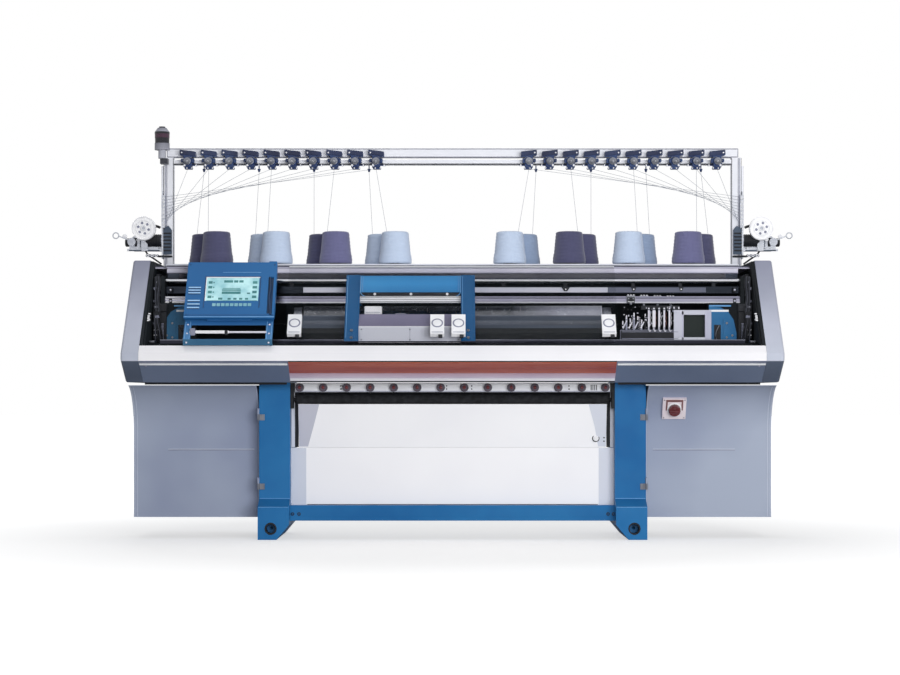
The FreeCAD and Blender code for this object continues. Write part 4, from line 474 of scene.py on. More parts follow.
def chamfered(mesh, place, low, high, edge=0.8, finish=0):
    """Chamfered block between two corners, in millimetres of a surface's own directions."""
    corners = {}
    for corner in itertools.product((0, 1), repeat=3):
        for axis in range(3):
            spot = []
            for other in range(3):
                inward = 0 if other == axis else edge
                spot.append(high[other] - inward if corner[other] else low[other] + inward)
            corners[corner, axis] = mesh.verts.new(place(*spot))

    def face(*keys):
        mesh.faces.new([corners[key] for key in keys]).material_index = finish

    for axis in range(3):
        one, two = [other for other in range(3) if other != axis]
        for side in (0, 1):
            ring = []
            for first, second in ((0, 0), (1, 0), (1, 1), (0, 1)):
                corner = [0, 0, 0]
                corner[axis], corner[one], corner[two] = side, first, second
                ring.append((tuple(corner), axis))
            face(*ring)
        for first, second in itertools.product((0, 1), repeat=2):
            near, far = [0, 0, 0], [0, 0, 0]
            near[one] = far[one] = first
            near[two] = far[two] = second
            far[axis] = 1
            near, far = tuple(near), tuple(far)
            face((near, one), (far, one), (far, two), (near, two))
    for corner in itertools.product((0, 1), repeat=3):
        face((corner, 0), (corner, 1), (corner, 2))


def blocks(mesh, place, rows):
    """Chamfered blocks from rows of a low corner, a high corner, the edge and the finish."""
    for row in rows:
        chamfered(mesh, place, *row)


def band(mesh, lower, upper, finish=0):
    """Faces between two rings of vertices; a ring of one vertex closes the end."""
    steps = max(len(lower), len(upper))
    for index in range(steps if steps > 1 else 0):
        after = (index + 1) % steps
        if len(lower) == 1:
            ring = [lower[0], upper[index], upper[after]]
        elif len(upper) == 1:
            ring = [lower[index], lower[after], upper[0]]
        else:
            ring = [lower[index], lower[after], upper[after], upper[index]]
        mesh.faces.new(ring).material_index = finish


def turned(mesh, outline, centre, direction, steps=24, finish=0):
    """Turned solid: an outline of (radius, height) in millimetres about an axis."""
    turn = Vector((0, 0, 1)).rotation_difference(Vector(direction)).to_matrix()
    rows = []
    for radius, along in outline:
        rows.append([mesh.verts.new(centre + turn @ (Vector((*offset, along)) / 1000))
                     for offset in around(steps if radius > 0 else 1, radius)])
    for lower, upper in zip(rows, rows[1:]):
        band(mesh, lower, upper, finish)


def button(mesh, centre, direction, rim, crown, steps=24, finish=0):
    """Turned button from the (radius, height) of its rim and of its crown."""
    turned(mesh, [(0, 0), (rim[0], 0), rim, crown, (0, crown[1])], centre, direction, steps,
           finish)


def eyelet(mesh, centre, direction, radii, high, steps, finish):
    """Turned eyelet from the radii of its waist, bore, edge and rim."""
    waist, bore, edge, rim = radii
    turned(mesh, [(bore, 0), (edge, 0), (rim, high / 2), (edge, high), (bore, high),
                  (waist, high / 2), (bore, 0)], centre, direction, steps, finish)


def prism(mesh, place, corners, low, high, finish=0):
    """Flat outline of (u, v) corners between two heights over a surface."""
    floor, roof = [[mesh.verts.new(place(u, v, height)) for u, v in corners]
                   for height in (low, high)]
    for ring in (floor, roof):
        mesh.faces.new(ring).material_index = finish
    band(mesh, floor, roof, finish)


def louvres(mesh, place, face, depth, span, rows, drop):
    """Row of pressed louvres: face and depth out of it, span across, and rows of heights."""
    out, lift = depth
    for z in rows:
        prism(mesh, place, [(face, z), (face + out, z + lift), (face, z + drop)], *span)


def tube(mesh, points, radius, steps=8, finish=0):
    """Round bar or pipe along a chain of points, with closed ends."""
    path = [Vector(point) for point in points]
    runs = [(after - before).normalized() for before, after in zip(path, path[1:])]
    side = runs[0].orthogonal().normalized()
    rings = []
    for index, spot in enumerate(path):
        along = (runs[min(index, len(runs) - 1)] + runs[max(index - 1, 0)]).normalized()
        side = (side - along * side.dot(along)).normalized()
        other = along.cross(side)
        rings.append([mesh.verts.new(spot + side * u + other * v)
                      for u, v in around(steps, radius / 1000)])
    for lower, upper in zip(rings, rings[1:]):
        band(mesh, lower, upper, finish)
    for ring in (rings[0], rings[-1]):
        mesh.faces.new(ring).material_index = finish


def bend(points, steps=6):
    """Smooth curve through given points."""
    path = []
    padded = [points[0], *points, points[-1]]
    for before, first, last, after in zip(padded, padded[1:], padded[2:], padded[3:]):
        for step in range(steps):
            t = step / steps
            path.append(0.5 * (2 * first + (last - before) * t
                               + (2 * before - 5 * first + 4 * last - after) * t ** 2
                               + (3 * first - before - 3 * last + after) * t ** 3))
    return path + [points[-1]]


def hose(mesh, place, spots, radius, steps=8, finish=0):
    """Bent pipe through spots of a surface's own directions."""
    tube(mesh, bend([place(*spot) for spot in spots]), radius, steps, finish)


def screw(mesh, centre, direction, radius, finish=0):
    """Socket screw's head with a rounded rim and a socket."""
    high = radius * 0.6
    turned(mesh, [
        (0, 0), (radius, 0), (radius, high * 0.7), (radius * 0.85, high),
        (radius * 0.5, high), (radius * 0.5, high * 0.3), (0, high * 0.3),
    ], centre, direction, 12, finish)


def screws(mesh, place, spots, direction, radius, finish=0):
    """Screws at spots of a surface's own directions."""
    for spot in spots:
        screw(mesh, place(*spot), direction, radius, finish)


def settle(name, mesh, finishes, slot, body="machine", sharp=35):
    """Turns a bmesh into a piece with its finishes, riding on a body; its colour slot is not used.
    """
    bmesh.ops.recalc_face_normals(mesh, faces=mesh.faces)
    data = bpy.data.meshes.new(name)
    mesh.to_mesh(data)
    mesh.free()
    for material in finishes:
        data.materials.append(material)
    data.polygons.foreach_set("use_smooth", [True] * len(data.polygons))
    data.set_sharp_from_angle(angle=math.radians(sharp))
    piece = bpy.data.objects.new(name, data)
    bpy.context.scene.collection.objects.link(piece)
    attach(piece, body)
    return piece


# ------------------------------------------------------------------ surfaces to build on

BED_MIDDLE = 400  # depth of the plane between the two needle beds


def mirrored(side):
    """Frame coordinates of a side: positive X is outwards."""
    return lambda x, depth, z: at(OUTWARD[side][0] * x, depth, z)


def both_sides():
    """Each side's name, its frame coordinates and an empty mesh."""
    for side in OUTWARD:
        yield side, mirrored(side), bmesh.new()


def from_middle(sign):
    """Coordinates with the distance from the plane between the beds, forwards or back."""
    return lambda x, away, z: at(x, BED_MIDDLE - sign * away, z)


def leaning(depth, z, run, rise, left=0):
    """Surface that leans back from an edge: across, up along it and out from it."""
    long = math.hypot(run, rise)

    def place(across, up, out):
        return at(left + across, depth + (up * run - out * rise) / long,
                  z + (up * rise + out * run) / long)
    return place


def out_of(place):
    """Direction out of a surface."""
    return place(0, 0, 1) - place(0, 0, 0)


# ------------------------------------------------------------------ windows

NOSE_TOP = 935
SLOPE_RUN = 410
SLOPE_RISE = 479
SLOPE_LONG = math.hypot(SLOPE_RUN, SLOPE_RISE)
LATCH_Z = 1015
LATCH_WIDE = 69
LATCH_LONG = 98 * SLOPE_LONG / SLOPE_RISE
LATCH_OUT = 24
WINDOW_FOOT = 985
WINDOW_TOP = 1385


def on_slope(z):
    """Surface of the sloping front from a height."""
    return leaning((z - NOSE_TOP) * SLOPE_RUN / SLOPE_RISE, z, SLOPE_RUN, SLOPE_RISE)


def make_latch_knobs():
    """Round knob, plate lines and foot of each window latch."""
    place = on_slope(LATCH_Z)
    middle_up = LATCH_LONG * 0.55
    for side, starts in (("l", (-816, -110)), ("r", (-5, 739))):
        mesh = bmesh.new()
        for left in starts:
            middle = place(left + LATCH_WIDE / 2, middle_up, LATCH_OUT)
            turned(mesh, [(0, 0), (29, 0), (29, 1), (26, 2), (25, 0.6), (0, 0.6)], middle,
                   out_of(place), 32, 1)
            button(mesh, middle, out_of(place), (22, 1.2), (20, 2), 32)
            blocks(mesh, place, [
                ((left + 16, middle_up - 5, LATCH_OUT + 1),
                 (left + LATCH_WIDE - 16, middle_up + 5, LATCH_OUT + 2.6), 0.7),
                ((left + 6, 8, LATCH_OUT), (left + 63, 12, LATCH_OUT + 1.5), 0.5, 1),
                ((left + 40, -16, 6), (left + 60, 2, 18), 2, 2)])
        settle(f"window_latch_knobs_{side}", mesh, [WHITE, GREY, BLACK], "latch_white",
               f"window_{side}")


def make_window_edges():
    """Aluminium edge strips along the foot and the top of each window."""
    top = (WINDOW_TOP - WINDOW_FOOT) * SLOPE_LONG / SLOPE_RISE
    for side, low, high in (("l", -830, -23.5), ("r", -22.5, 822)):
        mesh = bmesh.new()
        blocks(mesh, on_slope(WINDOW_FOOT), [
            ((low, 2, 0), (high, 9, 3.5), 0.8),
            ((low, top - 12, 0), (high, top - 4, 2.5), 0.8)])
        settle(f"window_edges_{side}", mesh, [RAIL], "rail_steel", f"window_{side}")


# ------------------------------------------------------------------ control panel

PANEL_LEAN = math.radians(35)
SCREEN_LEFT = 101
SCREEN_WIDE = 261
SCREEN_LOW = 104
SCREEN_HIGH = 144
BRACKET_FRONT = 4.3
BRACKET_BEND = 1000

on_panel = leaning(60, 1110, math.sin(PANEL_LEAN), math.cos(PANEL_LEAN), left=-1327)
on_bracket = leaning(BRACKET_FRONT, BRACKET_BEND, SLOPE_RUN, SLOPE_RISE)


def make_screen_blocks():
    """Generic fields on the screen: side buttons, a heading, a picture and a foot row."""
    mesh = bmesh.new()
    fields = [(0.035, 0.11, 0.12 + step * 0.21, 0.23 + step * 0.21) for step in range(4)]
    fields += [(0.88, 0.965, low, high) for _, _, low, high in fields]
    fields += [(0.33, 0.50, 0.80, 0.90), (0.52, 0.60, 0.80, 0.90), (0.62, 0.70, 0.80, 0.90)]
    fields += [(0.30, 0.66, 0.44, 0.50), (0.30, 0.66, 0.30, 0.41), (0.24, 0.32, 0.05, 0.14)]
    fields += [(0.42 + step * 0.11, 0.48 + step * 0.11, 0.05, 0.13) for step in range(4)]
    fields += [(0.125, 0.15, low + 0.02, high - 0.03) for _, _, low, high in fields[:4]]
    fields += [(0.02, 0.98, 0.0, 0.02), (0.31, 0.65, 0.53, 0.56), (0.78, 0.84, 0.30, 0.36)]
    for left, right, low, high in fields:
        chamfered(mesh, on_panel,
                  (SCREEN_LEFT + left * SCREEN_WIDE, SCREEN_LOW + low * SCREEN_HIGH, -0.6),
                  (SCREEN_LEFT + right * SCREEN_WIDE, SCREEN_LOW + high * SCREEN_HIGH, -0.3), 0.1)
    settle("screen_fields", mesh, [SCREEN_INK], "screen", "panel")


def make_panel_trim():
    """Bezel, vents, seams, side lever and corner tab of the control panel, with painted highlights
    on its edges and vents.
    """
    mesh = bmesh.new()
    screen_right, screen_top = SCREEN_LEFT + SCREEN_WIDE, SCREEN_LOW + SCREEN_HIGH
    left, right, low, high = SCREEN_LEFT - 9, screen_right + 9, 60, screen_top + 9
    blocks(mesh, on_panel, [
        ((left, low, 0), (left + 4, high, 2), 0.6, 1),
        ((right - 4, low, 0), (right, high, 2), 0.6, 1),
        ((left, high - 3, 0), (right, high, 2), 0.6, 1),
        # White along the screen's top and left edge: a painted highlight.
        ((SCREEN_LEFT - 4, screen_top, -1), (screen_right + 4, screen_top + 5, 2.5), 0.8, 3),
        ((SCREEN_LEFT - 4, SCREEN_LOW, -1), (SCREEN_LEFT + 0.5, screen_top, 2), 0.8, 3),
        ((178, 282, 0), (368, 284.5, 1.4), 0.5, 2),
        # Light-blue line on the bottom lip: a painted highlight.
        ((0.5, 1, 0), (446.5, 6, 1.6), 0.5, 2),
        ((0.5, 14, 0), (446.5, 17, 0.8), 0.3, 1),
        ((409, 26, -8.8), (433, 254, -7.5), 0.5, 5),
        ((404, 349, -22), (444, 362, -6), 3, 0)])
    # Light lines on the vents' upper lips: painted highlights.
    for up in (58, 80, 102, 150, 167, 184):
        blocks(mesh, on_panel, [((13, up, 0), (74, up + 6.5, 2.5), 0.9, 4),
                                ((13, up - 6, 0), (73, up - 0.5, 0.6), 0.2, 1)])
    hose(mesh, on_panel, [(416, 250, 1), (421, 180, 2), (417, 120, 2), (424, 60, 2),
                          (427, 18, 1)], 5, 8, 5)
    screws(mesh, on_panel, itertools.product((12, 435), (16, 332), (0,)), out_of(on_panel), 3.5,
           1)
    settle("panel_trim", mesh, [PANEL_BLUE, INK_BLUE, LIGHT_BLUE_HIGHLIGHT, WHITE, VENT_HIGHLIGHT, DEEP_BLUE],
           "panel_blue", "panel")


def make_bracket_bolts():
    """Bolts, light edge lines that are painted highlights, and the rod with its blocks in front of
    the bracket's opening.
    """
    mesh = bmesh.new()
    for x, z in itertools.product((-1305, -902), (985, 1030, 1075)):
        depth = max(z - BRACKET_BEND, 0) * SLOPE_RUN / SLOPE_RISE + BRACKET_FRONT
        screw(mesh, at(x, depth, z), FORWARD, 4.5)
    tube(mesh, [at(-1292, 29, 1037), at(-915, 29, 1037)], 5, 16, 0)
    blocks(mesh, at, [
        # Light line along the bracket's bend: a painted highlight.
        ((-1286, 23, 998), (-920, 27, 1001), 0.8, 1),
        ((-1290, 20, 1020), (-1264, 32, 1056), 3, 4),
        ((-1264, 24, 1030), (-1100, 34, 1045), 2, 3),
        ((-1120, 22, 1022), (-1104, 34, 1046), 2, 2)])
    # Light lines on the columns' edges: painted highlights.
    for x in (-1316, -1293, -914, -891):
        chamfered(mesh, on_bracket, (x - 1.5, 2, 0), (x + 1.5, 118, 1.2), 0.4, 1)
    settle("bracket_bolts", mesh, [FINGER, LIGHT_BLUE_HIGHLIGHT, BLACK, WHITE, GREY], "rail_steel",
           "panel_stand")


# ------------------------------------------------------------------ carriage

BOW_LEFT = -537
BEAM_LEFT = -467
BEAM_RIGHT = 43
BOW_FOOT = 990
BOW_TOP = 1337
FOOT_AWAY = 305  # from the plane between the beds, at the bow's foot and at its top
TOP_AWAY = 44
BOW_LEAN = (FOOT_AWAY - TOP_AWAY) / (BOW_TOP - BOW_FOOT)


def on_bow(z):
    """Outer slope of the bow at the front from a height."""
    return leaning(BED_MIDDLE - TOP_AWAY - (BOW_TOP - z) * BOW_LEAN, z, BOW_LEAN, 1)


def make_bow_fittings():
    """Black strip with three white screws and seam lines on the bow; light-blue lines and curves at
    the beam's ends and lines on the arms are painted highlights of their rounded edges.
    """
    mesh = bmesh.new()
    blocks(mesh, at, [
        ((BEAM_LEFT, 292, 1228), (BEAM_RIGHT, 312, 1246), 1.5, 1),
        ((BEAM_LEFT, 302, 1194), (BEAM_RIGHT, 308, 1228), 1.2, 5),
        ((BEAM_LEFT + 2, 301, 1198), (BEAM_RIGHT - 2, 302.4, 1201), 0.4, 6),
        ((BEAM_LEFT + 2, 301, 1209), (BEAM_RIGHT - 2, 302.4, 1211), 0.4, 6),
        ((BEAM_LEFT + 2, 301, 1221), (BEAM_RIGHT - 2, 302.4, 1223), 0.4, 1)])
    screws(mesh, at, [(x, 292, 1237) for x in (-392, -209.5, -27)], FORWARD, 7, 2)
    # Light-blue lines and curves at the beam's ends: painted highlights where it rounds into the
    # arms.
    for edge, sign in ((BEAM_LEFT, 1), (BEAM_RIGHT, -1)):
        for near, far in ((1, 6), (12, 15)):
            low, high = sorted((edge + sign * near, edge + sign * far))
            chamfered(mesh, on_bow(1246), (low, 4, 0), (high, 104, 1.2), 0.4, 3)
        hose(mesh, on_bow(1246), [(edge + sign * 2, 6, 1), (edge + sign * 4, -4, 0),
                                  (edge + sign * 12, -14, -4), (edge + sign * 24, -18, -8)],
             2.2, 8, 3)
    # Light-blue line on each arm: a painted highlight; the other line is a seam.
    for arm in (BOW_LEFT, BEAM_RIGHT):
        blocks(mesh, on_bow(1010), [
            ((arm + 6, 0, 0), (arm + 9, 400, 1.6), 0.6, 3),
            ((arm + 61, 0, 0), (arm + 64, 400, 1.6), 0.6, 0)])
        screws(mesh, on_bow(1000), [(arm + 35, 14, 0), (arm + 35, 60, 0)],
               out_of(on_bow(1000)), 8, 4)
    settle("bow_fittings", mesh, [BOW_BLUE, BLACK, WHITE, LIGHT_BLUE_HIGHLIGHT, STEEL, BRIGHT, GROOVE],
           "frame_blue", "carriage")


def make_cam_box_trim():
    """Front plates, seams, screws and the white sensor block on the cam boxes."""
    for side, sign in (("front", 1), ("rear", -1)):
        facing = from_middle(sign)
        mesh = bmesh.new()
        blocks(mesh, facing, [
            ((BEAM_LEFT + 3, 250, 993), (BEAM_RIGHT - 3, 253, 1064), 1.2, 0),
            ((-213, 253, 993), (-211, 253.6, 1064), 0.2, 2),
            ((-288, 85, 1133), (-236, 150, 1139), 2, 2),
            ((BEAM_LEFT + 2, 253, 989), (BEAM_RIGHT - 2, 255, 997), 0.8, 3),
            ((BEAM_LEFT + 2, 250.5, 1066), (BEAM_RIGHT - 2, 251.5, 1069), 0.4, 3)])
        places = itertools.product((BEAM_LEFT + 14, -212, BEAM_RIGHT - 14), (253,), (1003, 1054))
        screws(mesh, facing, places, (0, -sign, 0), 4, 1)
        screw(mesh, facing(-262, 118, 1139), UP, 5, 1)
        if side == "front":
            blocks(mesh, at, [((-443, 245, 1133.2), (-355, 300, 1174), 4, 3),
                              ((-436, 243.5, 1142), (-362, 245.5, 1145), 0.6, 2)])
        settle(f"{side}_cam_trim", mesh, [CAM_FACE, STEEL, GREY, WHITE], "cam_grey", "carriage")


# ------------------------------------------------------------------ needle beds and rails

NEEDLE_PITCH = 5.08  # drawn at five needles an inch, because finer ones would not show
BED_HALF = 760
BED_LIP = 1039  # height of a bed's lower edge
BED_REACH = 150  # from that edge to the plane between the beds


def on_bed(sign):
    """Sloping face of a needle bed: across, up from its lower edge and out from it."""
    facing = from_middle(sign)
    slope = math.sqrt(0.5)
    return lambda x, up, out: facing(x, BED_REACH - (up - out) * slope,
                                     BED_LIP + (up + out) * slope)


def make_needles():
    """Needle shanks and butts in their channels on both beds."""
    for side, sign in (("front", 1), ("rear", -1)):
        mesh = bmesh.new()
        count = int(2 * BED_HALF / NEEDLE_PITCH) - 2
        for index in range(count):
            x = (index - (count - 1) / 2) * NEEDLE_PITCH
            left, right = x - 0.8, x + 0.8
            prism(mesh, on_bed(sign), [(left, 128), (right, 128), (right, 196), (x, 200.5),
                                       (left, 196)], 0, 0.8)
            butt = 70 + 10 * (index % 2)
            prism(mesh, on_bed(sign), [(left, butt), (right, butt), (right, butt + 6),
                                       (left, butt + 6)], 0, 0.7)
        settle(f"{side}_needles", mesh, [NEEDLE], "bed_steel")


def make_bed_strips():
    """Dark lock strips and end clamps on the needle beds."""
    mesh = bmesh.new()
    for sign in (1, -1):
        place = on_bed(sign)
        blocks(mesh, place, [((-BED_HALF, 36, 0), (BED_HALF, 58, 0.8), 0.2, 0),
                             ((-BED_HALF, 96, 0), (BED_HALF, 122, 0.8), 0.2, 0)])
        for end in (-1, 1):
            low, high = sorted((end * (BED_HALF + 3), end * (BED_HALF + 46)))
            chamfered(mesh, place, (low, 0, -30), (high, 196, -4), 2, 1)
            screws(mesh, place, [(end * (BED_HALF + 24), up, -4) for up in (30, 165)],
                   out_of(place), 7, 1)
    settle("bed_strips", mesh, [LOCK_STRIP, STEEL], "bed_steel")


def make_rail_fittings():
    """Bright scale strip, rail stands and stops between the rails, and white strips at the rails'
    left end as painted highlights.
    """
    mesh = bmesh.new()
    blocks(mesh, at, [((-760, 389.2, 1250), (790, 391, 1276), 0.4, 0),
                      ((790, 389.6, 1250), (1290, 391, 1276), 0.4, 3)])
    for x in (-1250, -820, -280, 260, 576, 920, 1160, 1330):
        chamfered(mesh, at, (x - 9, 394, 1280), (x + 9, 406, 1300), 1.5, 1)
    for x, size in ((576, 22), (922, 14), (1164, 12)):
        hanger = [(x - size, 1276), (x + size, 1276), (x + size * 0.35, 1256),
                  (x - size * 0.35, 1256)]
        prism(mesh, lambda u, z, out: at(u, 389.2 - out, z), hanger, 0, 5, 1)
        screw(mesh, at(x, 384.2, 1266), FORWARD, 3.6, 2)
    for x, z in itertools.product((-1440, 1425), (1206, 1262)):
        chamfered(mesh, at, (x, 362, z - 12), (x + 16, 388, z + 12), 2, 1)
        screw(mesh, at(x + 8, 362, z), FORWARD, 5, 0)
    # White strips on the rails' shaded left end: painted highlights.
    for low, high in ((1197, 1205), (1211, 1216), (1220, 1228)):
        chamfered(mesh, at, (-1458, 364.4, low), (-1342, 366, high), 0.5, 2)
    settle("rail_fittings", mesh, [SCALE, BLACK, WHITE, SLATE], "rail_steel")


# ------------------------------------------------------------------ yarn carriers and clamps

# Place along the beds, depth of the face, and -1 where it looks forwards.
CARRIERS = ((905, 352, -1), (975, 384.5, -1), (1045, 415.5, 1), (1115, 448, 1))
CLAMP_FRONT = 332


def make_carrier_fittings():
    """Rollers of each yarn carrier, and the plate, screws and nozzle of the outer two."""
    for index, (x, face, way) in enumerate(CARRIERS, start=1):
        def facing(u, out, z, face=face, way=way):
            return at(u, face + way * out, z)
        mesh = bmesh.new()
        outer = index in (1, 4)
        if outer:
            chamfered(mesh, facing, (x - 19, 0, 1197), (x + 19, 3, 1224), 1, 0)
            screws(mesh, facing, [(x - 12, 3, 1217), (x + 12, 3, 1217)], (0, way, 0), 4, 1)
            tube(mesh, [facing(x - 16, 3.5, 1203), facing(x, 6, 1199), facing(x + 16, 3.5, 1203)],
                 1.6, 8, 2)
        for spot in (-14, 0, 14):
            centre = facing(x + spot, -3, 1233.2) if outer else facing(x + spot, -2, 1233)
            button(mesh, centre, UP, (4.5, 3), (3, 4.5), 12, 2)
        settle(f"carrier_{index}_fittings", mesh, [BLACK, STEEL, WHITE], "carrier_steel",
               f"carrier_{index}")


def clamp_fingers(mesh):
    """Bright fingers with hooked tips and thread springs, and the comb over them."""
    for index in range(5):
        x = 989 + 26 * index
        odd = index % 2
        wide = 4 if index == 1 else 0
        chamfered(mesh, at, (x + 1 - wide, 328.4, 1072), (x + 9 + wide, 332, 1156), 1, 0)
        hose(mesh, at, [(x + 5, 330, 1078), (x + 3, 329, 1066), (x + 5, 328.6, 1056),
                        (x + 10, 328.6, 1050), (x + 14, 329, 1056)], 1.8)
        hose(mesh, at, [(x + 12 + 4 * (step % 2), 330, 1080 + step * 13) for step in range(6)],
             1.1, 6, 3 * odd)
        chamfered(mesh, at, (x - 3, 334, 1160), (x + 13, 350, 1172 + 3 * odd), 2, 1)
        button(mesh, at(x + 5, 334, 1166), FORWARD, (4, 2), (2.5, 3), 14)
    chamfered(mesh, at, (956, 350, 1160), (1152, 362, 1181), 2, 1)
    for x in (1088, 1120, 1144):
        chamfered(mesh, at, (x, 347, 1164), (x + 7, 350, 1175), 1, 0)


def clamp_levers(mesh):
    """Levers, pins and coil springs beside the fingers."""
    for index in range(7):
        x = 858 + index * 19
        high = 1084 + (index * 29) % 46
        chamfered(mesh, at, (x, 336, 1058.2), (x + 9, 352, high), 2, 1 + index % 2)
        button(mesh, at(x + 5, 344, high), UP, (3.5, 16), (2, 20), 12)
        chamfered(mesh, at, (x + 1, 333.5, high - 14), (x + 8, 336, high - 8), 0.8, 0)
    for index in range(4):
        x = 866 + index * 30
        lever = [(x, 1064), (x + 16, 1098), (x + 12, 1100), (x - 6, 1068)]
        prism(mesh, lambda u, z, out: at(u, 334 - out, z), lever, 0, 2, 0 if index % 2 else 4)
    for x in (880, 914, 948):
        tube(mesh, [at(x + u, 350 + v, 1062 + step * 1.6)
                    for step, (u, v) in enumerate(around(40, 4, step=60))], 0.9, 6, 0)


def make_clamp_fittings():
    """Fingers, levers and springs of the yarn clamp, with many small parts between them."""
    mesh = bmesh.new()
    clamp_fingers(mesh)
    clamp_levers(mesh)
    chamfered(mesh, at, (852, 329.5, 988), (1148, CLAMP_FRONT, 1055), 1, 1)
    for z in (999, 1012, 1046):
        chamfered(mesh, at, (858, 328, z), (1142, 329.5, z + 3), 0.6, 2 if z > 1000 else 0)
    scatter = random.Random(7)
    for _ in range(90):
        x, z = scatter.uniform(862, 1142), scatter.uniform(1060, 1176)
        wide, high = scatter.uniform(2, 7), scatter.uniform(2, 9)
        chamfered(mesh, at, (x, 337, z), (x + wide, 341, z + high), 0.6,
                  scatter.choice((0, 1, 1, 2, 4, 4)))
    settle("clamp_fittings", mesh, [FINGER, BLACK, GREY, THREAD_RED, SCALE], "clamp_grey")


def make_park_box_trim():
    """Pale frame and cover plates round the dark recess of the parking box."""
    mesh = bmesh.new()
    blocks(mesh, at, [
        ((1161, 329, 986), (1170, CLAMP_FRONT, 1153), 0.8, 0),
        ((1278, 328, 986), (1310, CLAMP_FRONT, 1153), 0.8, 0),
        ((1120, 329, 986), (1310, 331, 1020), 0.8, 2),
        ((1120, 328.5, 1020), (1162, CLAMP_FRONT, 1153), 1.2, 3),
        ((1120, 329, 1134), (1310, CLAMP_FRONT, 1158), 1.2, 3),
        # Dark plate at the back of the recess: painted shade in it.
        ((1171, 355.4, 996), (1277, 358, 1133), 0.5, 1),
        ((1166, 329, 990), (1282, 331.6, 1003), 1, 2)])
    screws(mesh, at, [(1132, 328.5, 1146), (1300, 328.5, 1146)], FORWARD, 3.5)
    settle("park_box_trim", mesh, [CAM, RECESS, CAM_FACE, GUSSET], "clamp_grey")


# ------------------------------------------------------------------ ends of the machine

def make_end_linings():
    """Dark linings inside the end frames and the rear cover, black like the castings' paint:
    painted shade deep inside.
    """
    outline = [(70, 972), (100, 1010), (398, 1396), (860, 1396), (876, 1380), (876, 990),
               (640, 990), (160, 990), (90, 972)]
    for side, place, mesh in both_sides():
        prism(mesh, lambda depth, z, x: place(x, depth, z), outline, 1519, 1525.6)
        settle(f"{side}_end_lining", mesh, [DARK_PAINT_AND_SHADE], "frame_blue")
    mesh = bmesh.new()
    chamfered(mesh, at, (-1518, 872, 1000), (1518, 879.6, 1346), 1)
    for x in range(-1400, 1401, 350):
        chamfered(mesh, at, (x - 8, 868, 1004), (x + 8, 872, 1342), 1)
    settle("rear_lining", mesh, [DARK_PAINT_AND_SHADE], "cover_grey")


def end_levers(mesh, place):
    """Small levers with their screws, one over the other behind the side cap's edge."""
    for index, (x, z) in enumerate(((1497, 1300), (1505, 1268), (1493, 1236), (1506, 1204),
                                    (1496, 1172), (1490, 1122), (1502, 1090))):
        depth = 355 if z > 1190 else 298
        lever = [(x - 12, z - 4), (x + 9, z - 7), (x + 11, z + 5), (x - 8, z + 8)]
        prism(mesh, lambda u, v, out, depth=depth: place(u, depth - out, v), lever, 0, 6,
              1 + index % 2)
        screw(mesh, place(x + 2, depth - 6, z), FORWARD, 4, 3)


def end_hoses(mesh, place):
    """Four hoses side by side, and the coil spring before them."""
    for z in range(1010, 1094, 7):
        eyelet(mesh, place(1468, 326, z), UP, (1.6, 2, 6.5, 7), 4, 14, 2)
    for index in range(4):
        hose(mesh, place, [
            (1462 + index * 11, 300 - index * 8, 992), (1466 + index * 10, 282 - index * 5, 1050),
            (1484 + index * 6, 292, 1110), (1478 + index * 7, 318, 1160),
            (1488 + index * 6, 338, 1222), (1480 + index * 8, 348, 1290),
            (1486 + index * 6, 352, 1330)], 3.4, 8, index % 2)


def make_end_mechanisms():
    """Guards, levers, hoses and springs between the rails' ends and the side caps."""
    for side, place, mesh in both_sides():
        blocks(mesh, place, [
            ((1484, 356, 1190), (1516, 444, 1326), 3, 0),
            ((1482, 300, 1010), (1512, 344, 1150), 3, 0),
            ((1446, 330, 1150), (1516, 349, 1190), 3, 0),
            ((1448, 336, 990), (1484, 349, 1150), 2, 0),
            ((1488, 200, 990), (1517, 290, 1000), 2, 3),
            ((1494, 420, 1326), (1514, 640, 1344), 3, 0)])
        end_levers(mesh, place)
        end_hoses(mesh, place)
        for x, z in itertools.product((1490, 1503), (1030, 1056)):
            chamfered(mesh, place, (x - 4, 294, z - 3), (x + 4, 300, z + 4), 1, 4)
        for depth, z in ((150, 1096), (158, 1108), (176, 1100), (168, 1118), (190, 1130)):
            chamfered(mesh, place, (1508, depth, z), (1520, depth + 9, z + 7), 1, 4)
        screws(mesh, place, [(1504, depth, 1344) for depth in (470, 520, 570)], UP, 5, 2)
        settle(f"{side}_end_mechanism", mesh, [BLACK, HOSE, GREY, STEEL, WHITE], "frame_blue")


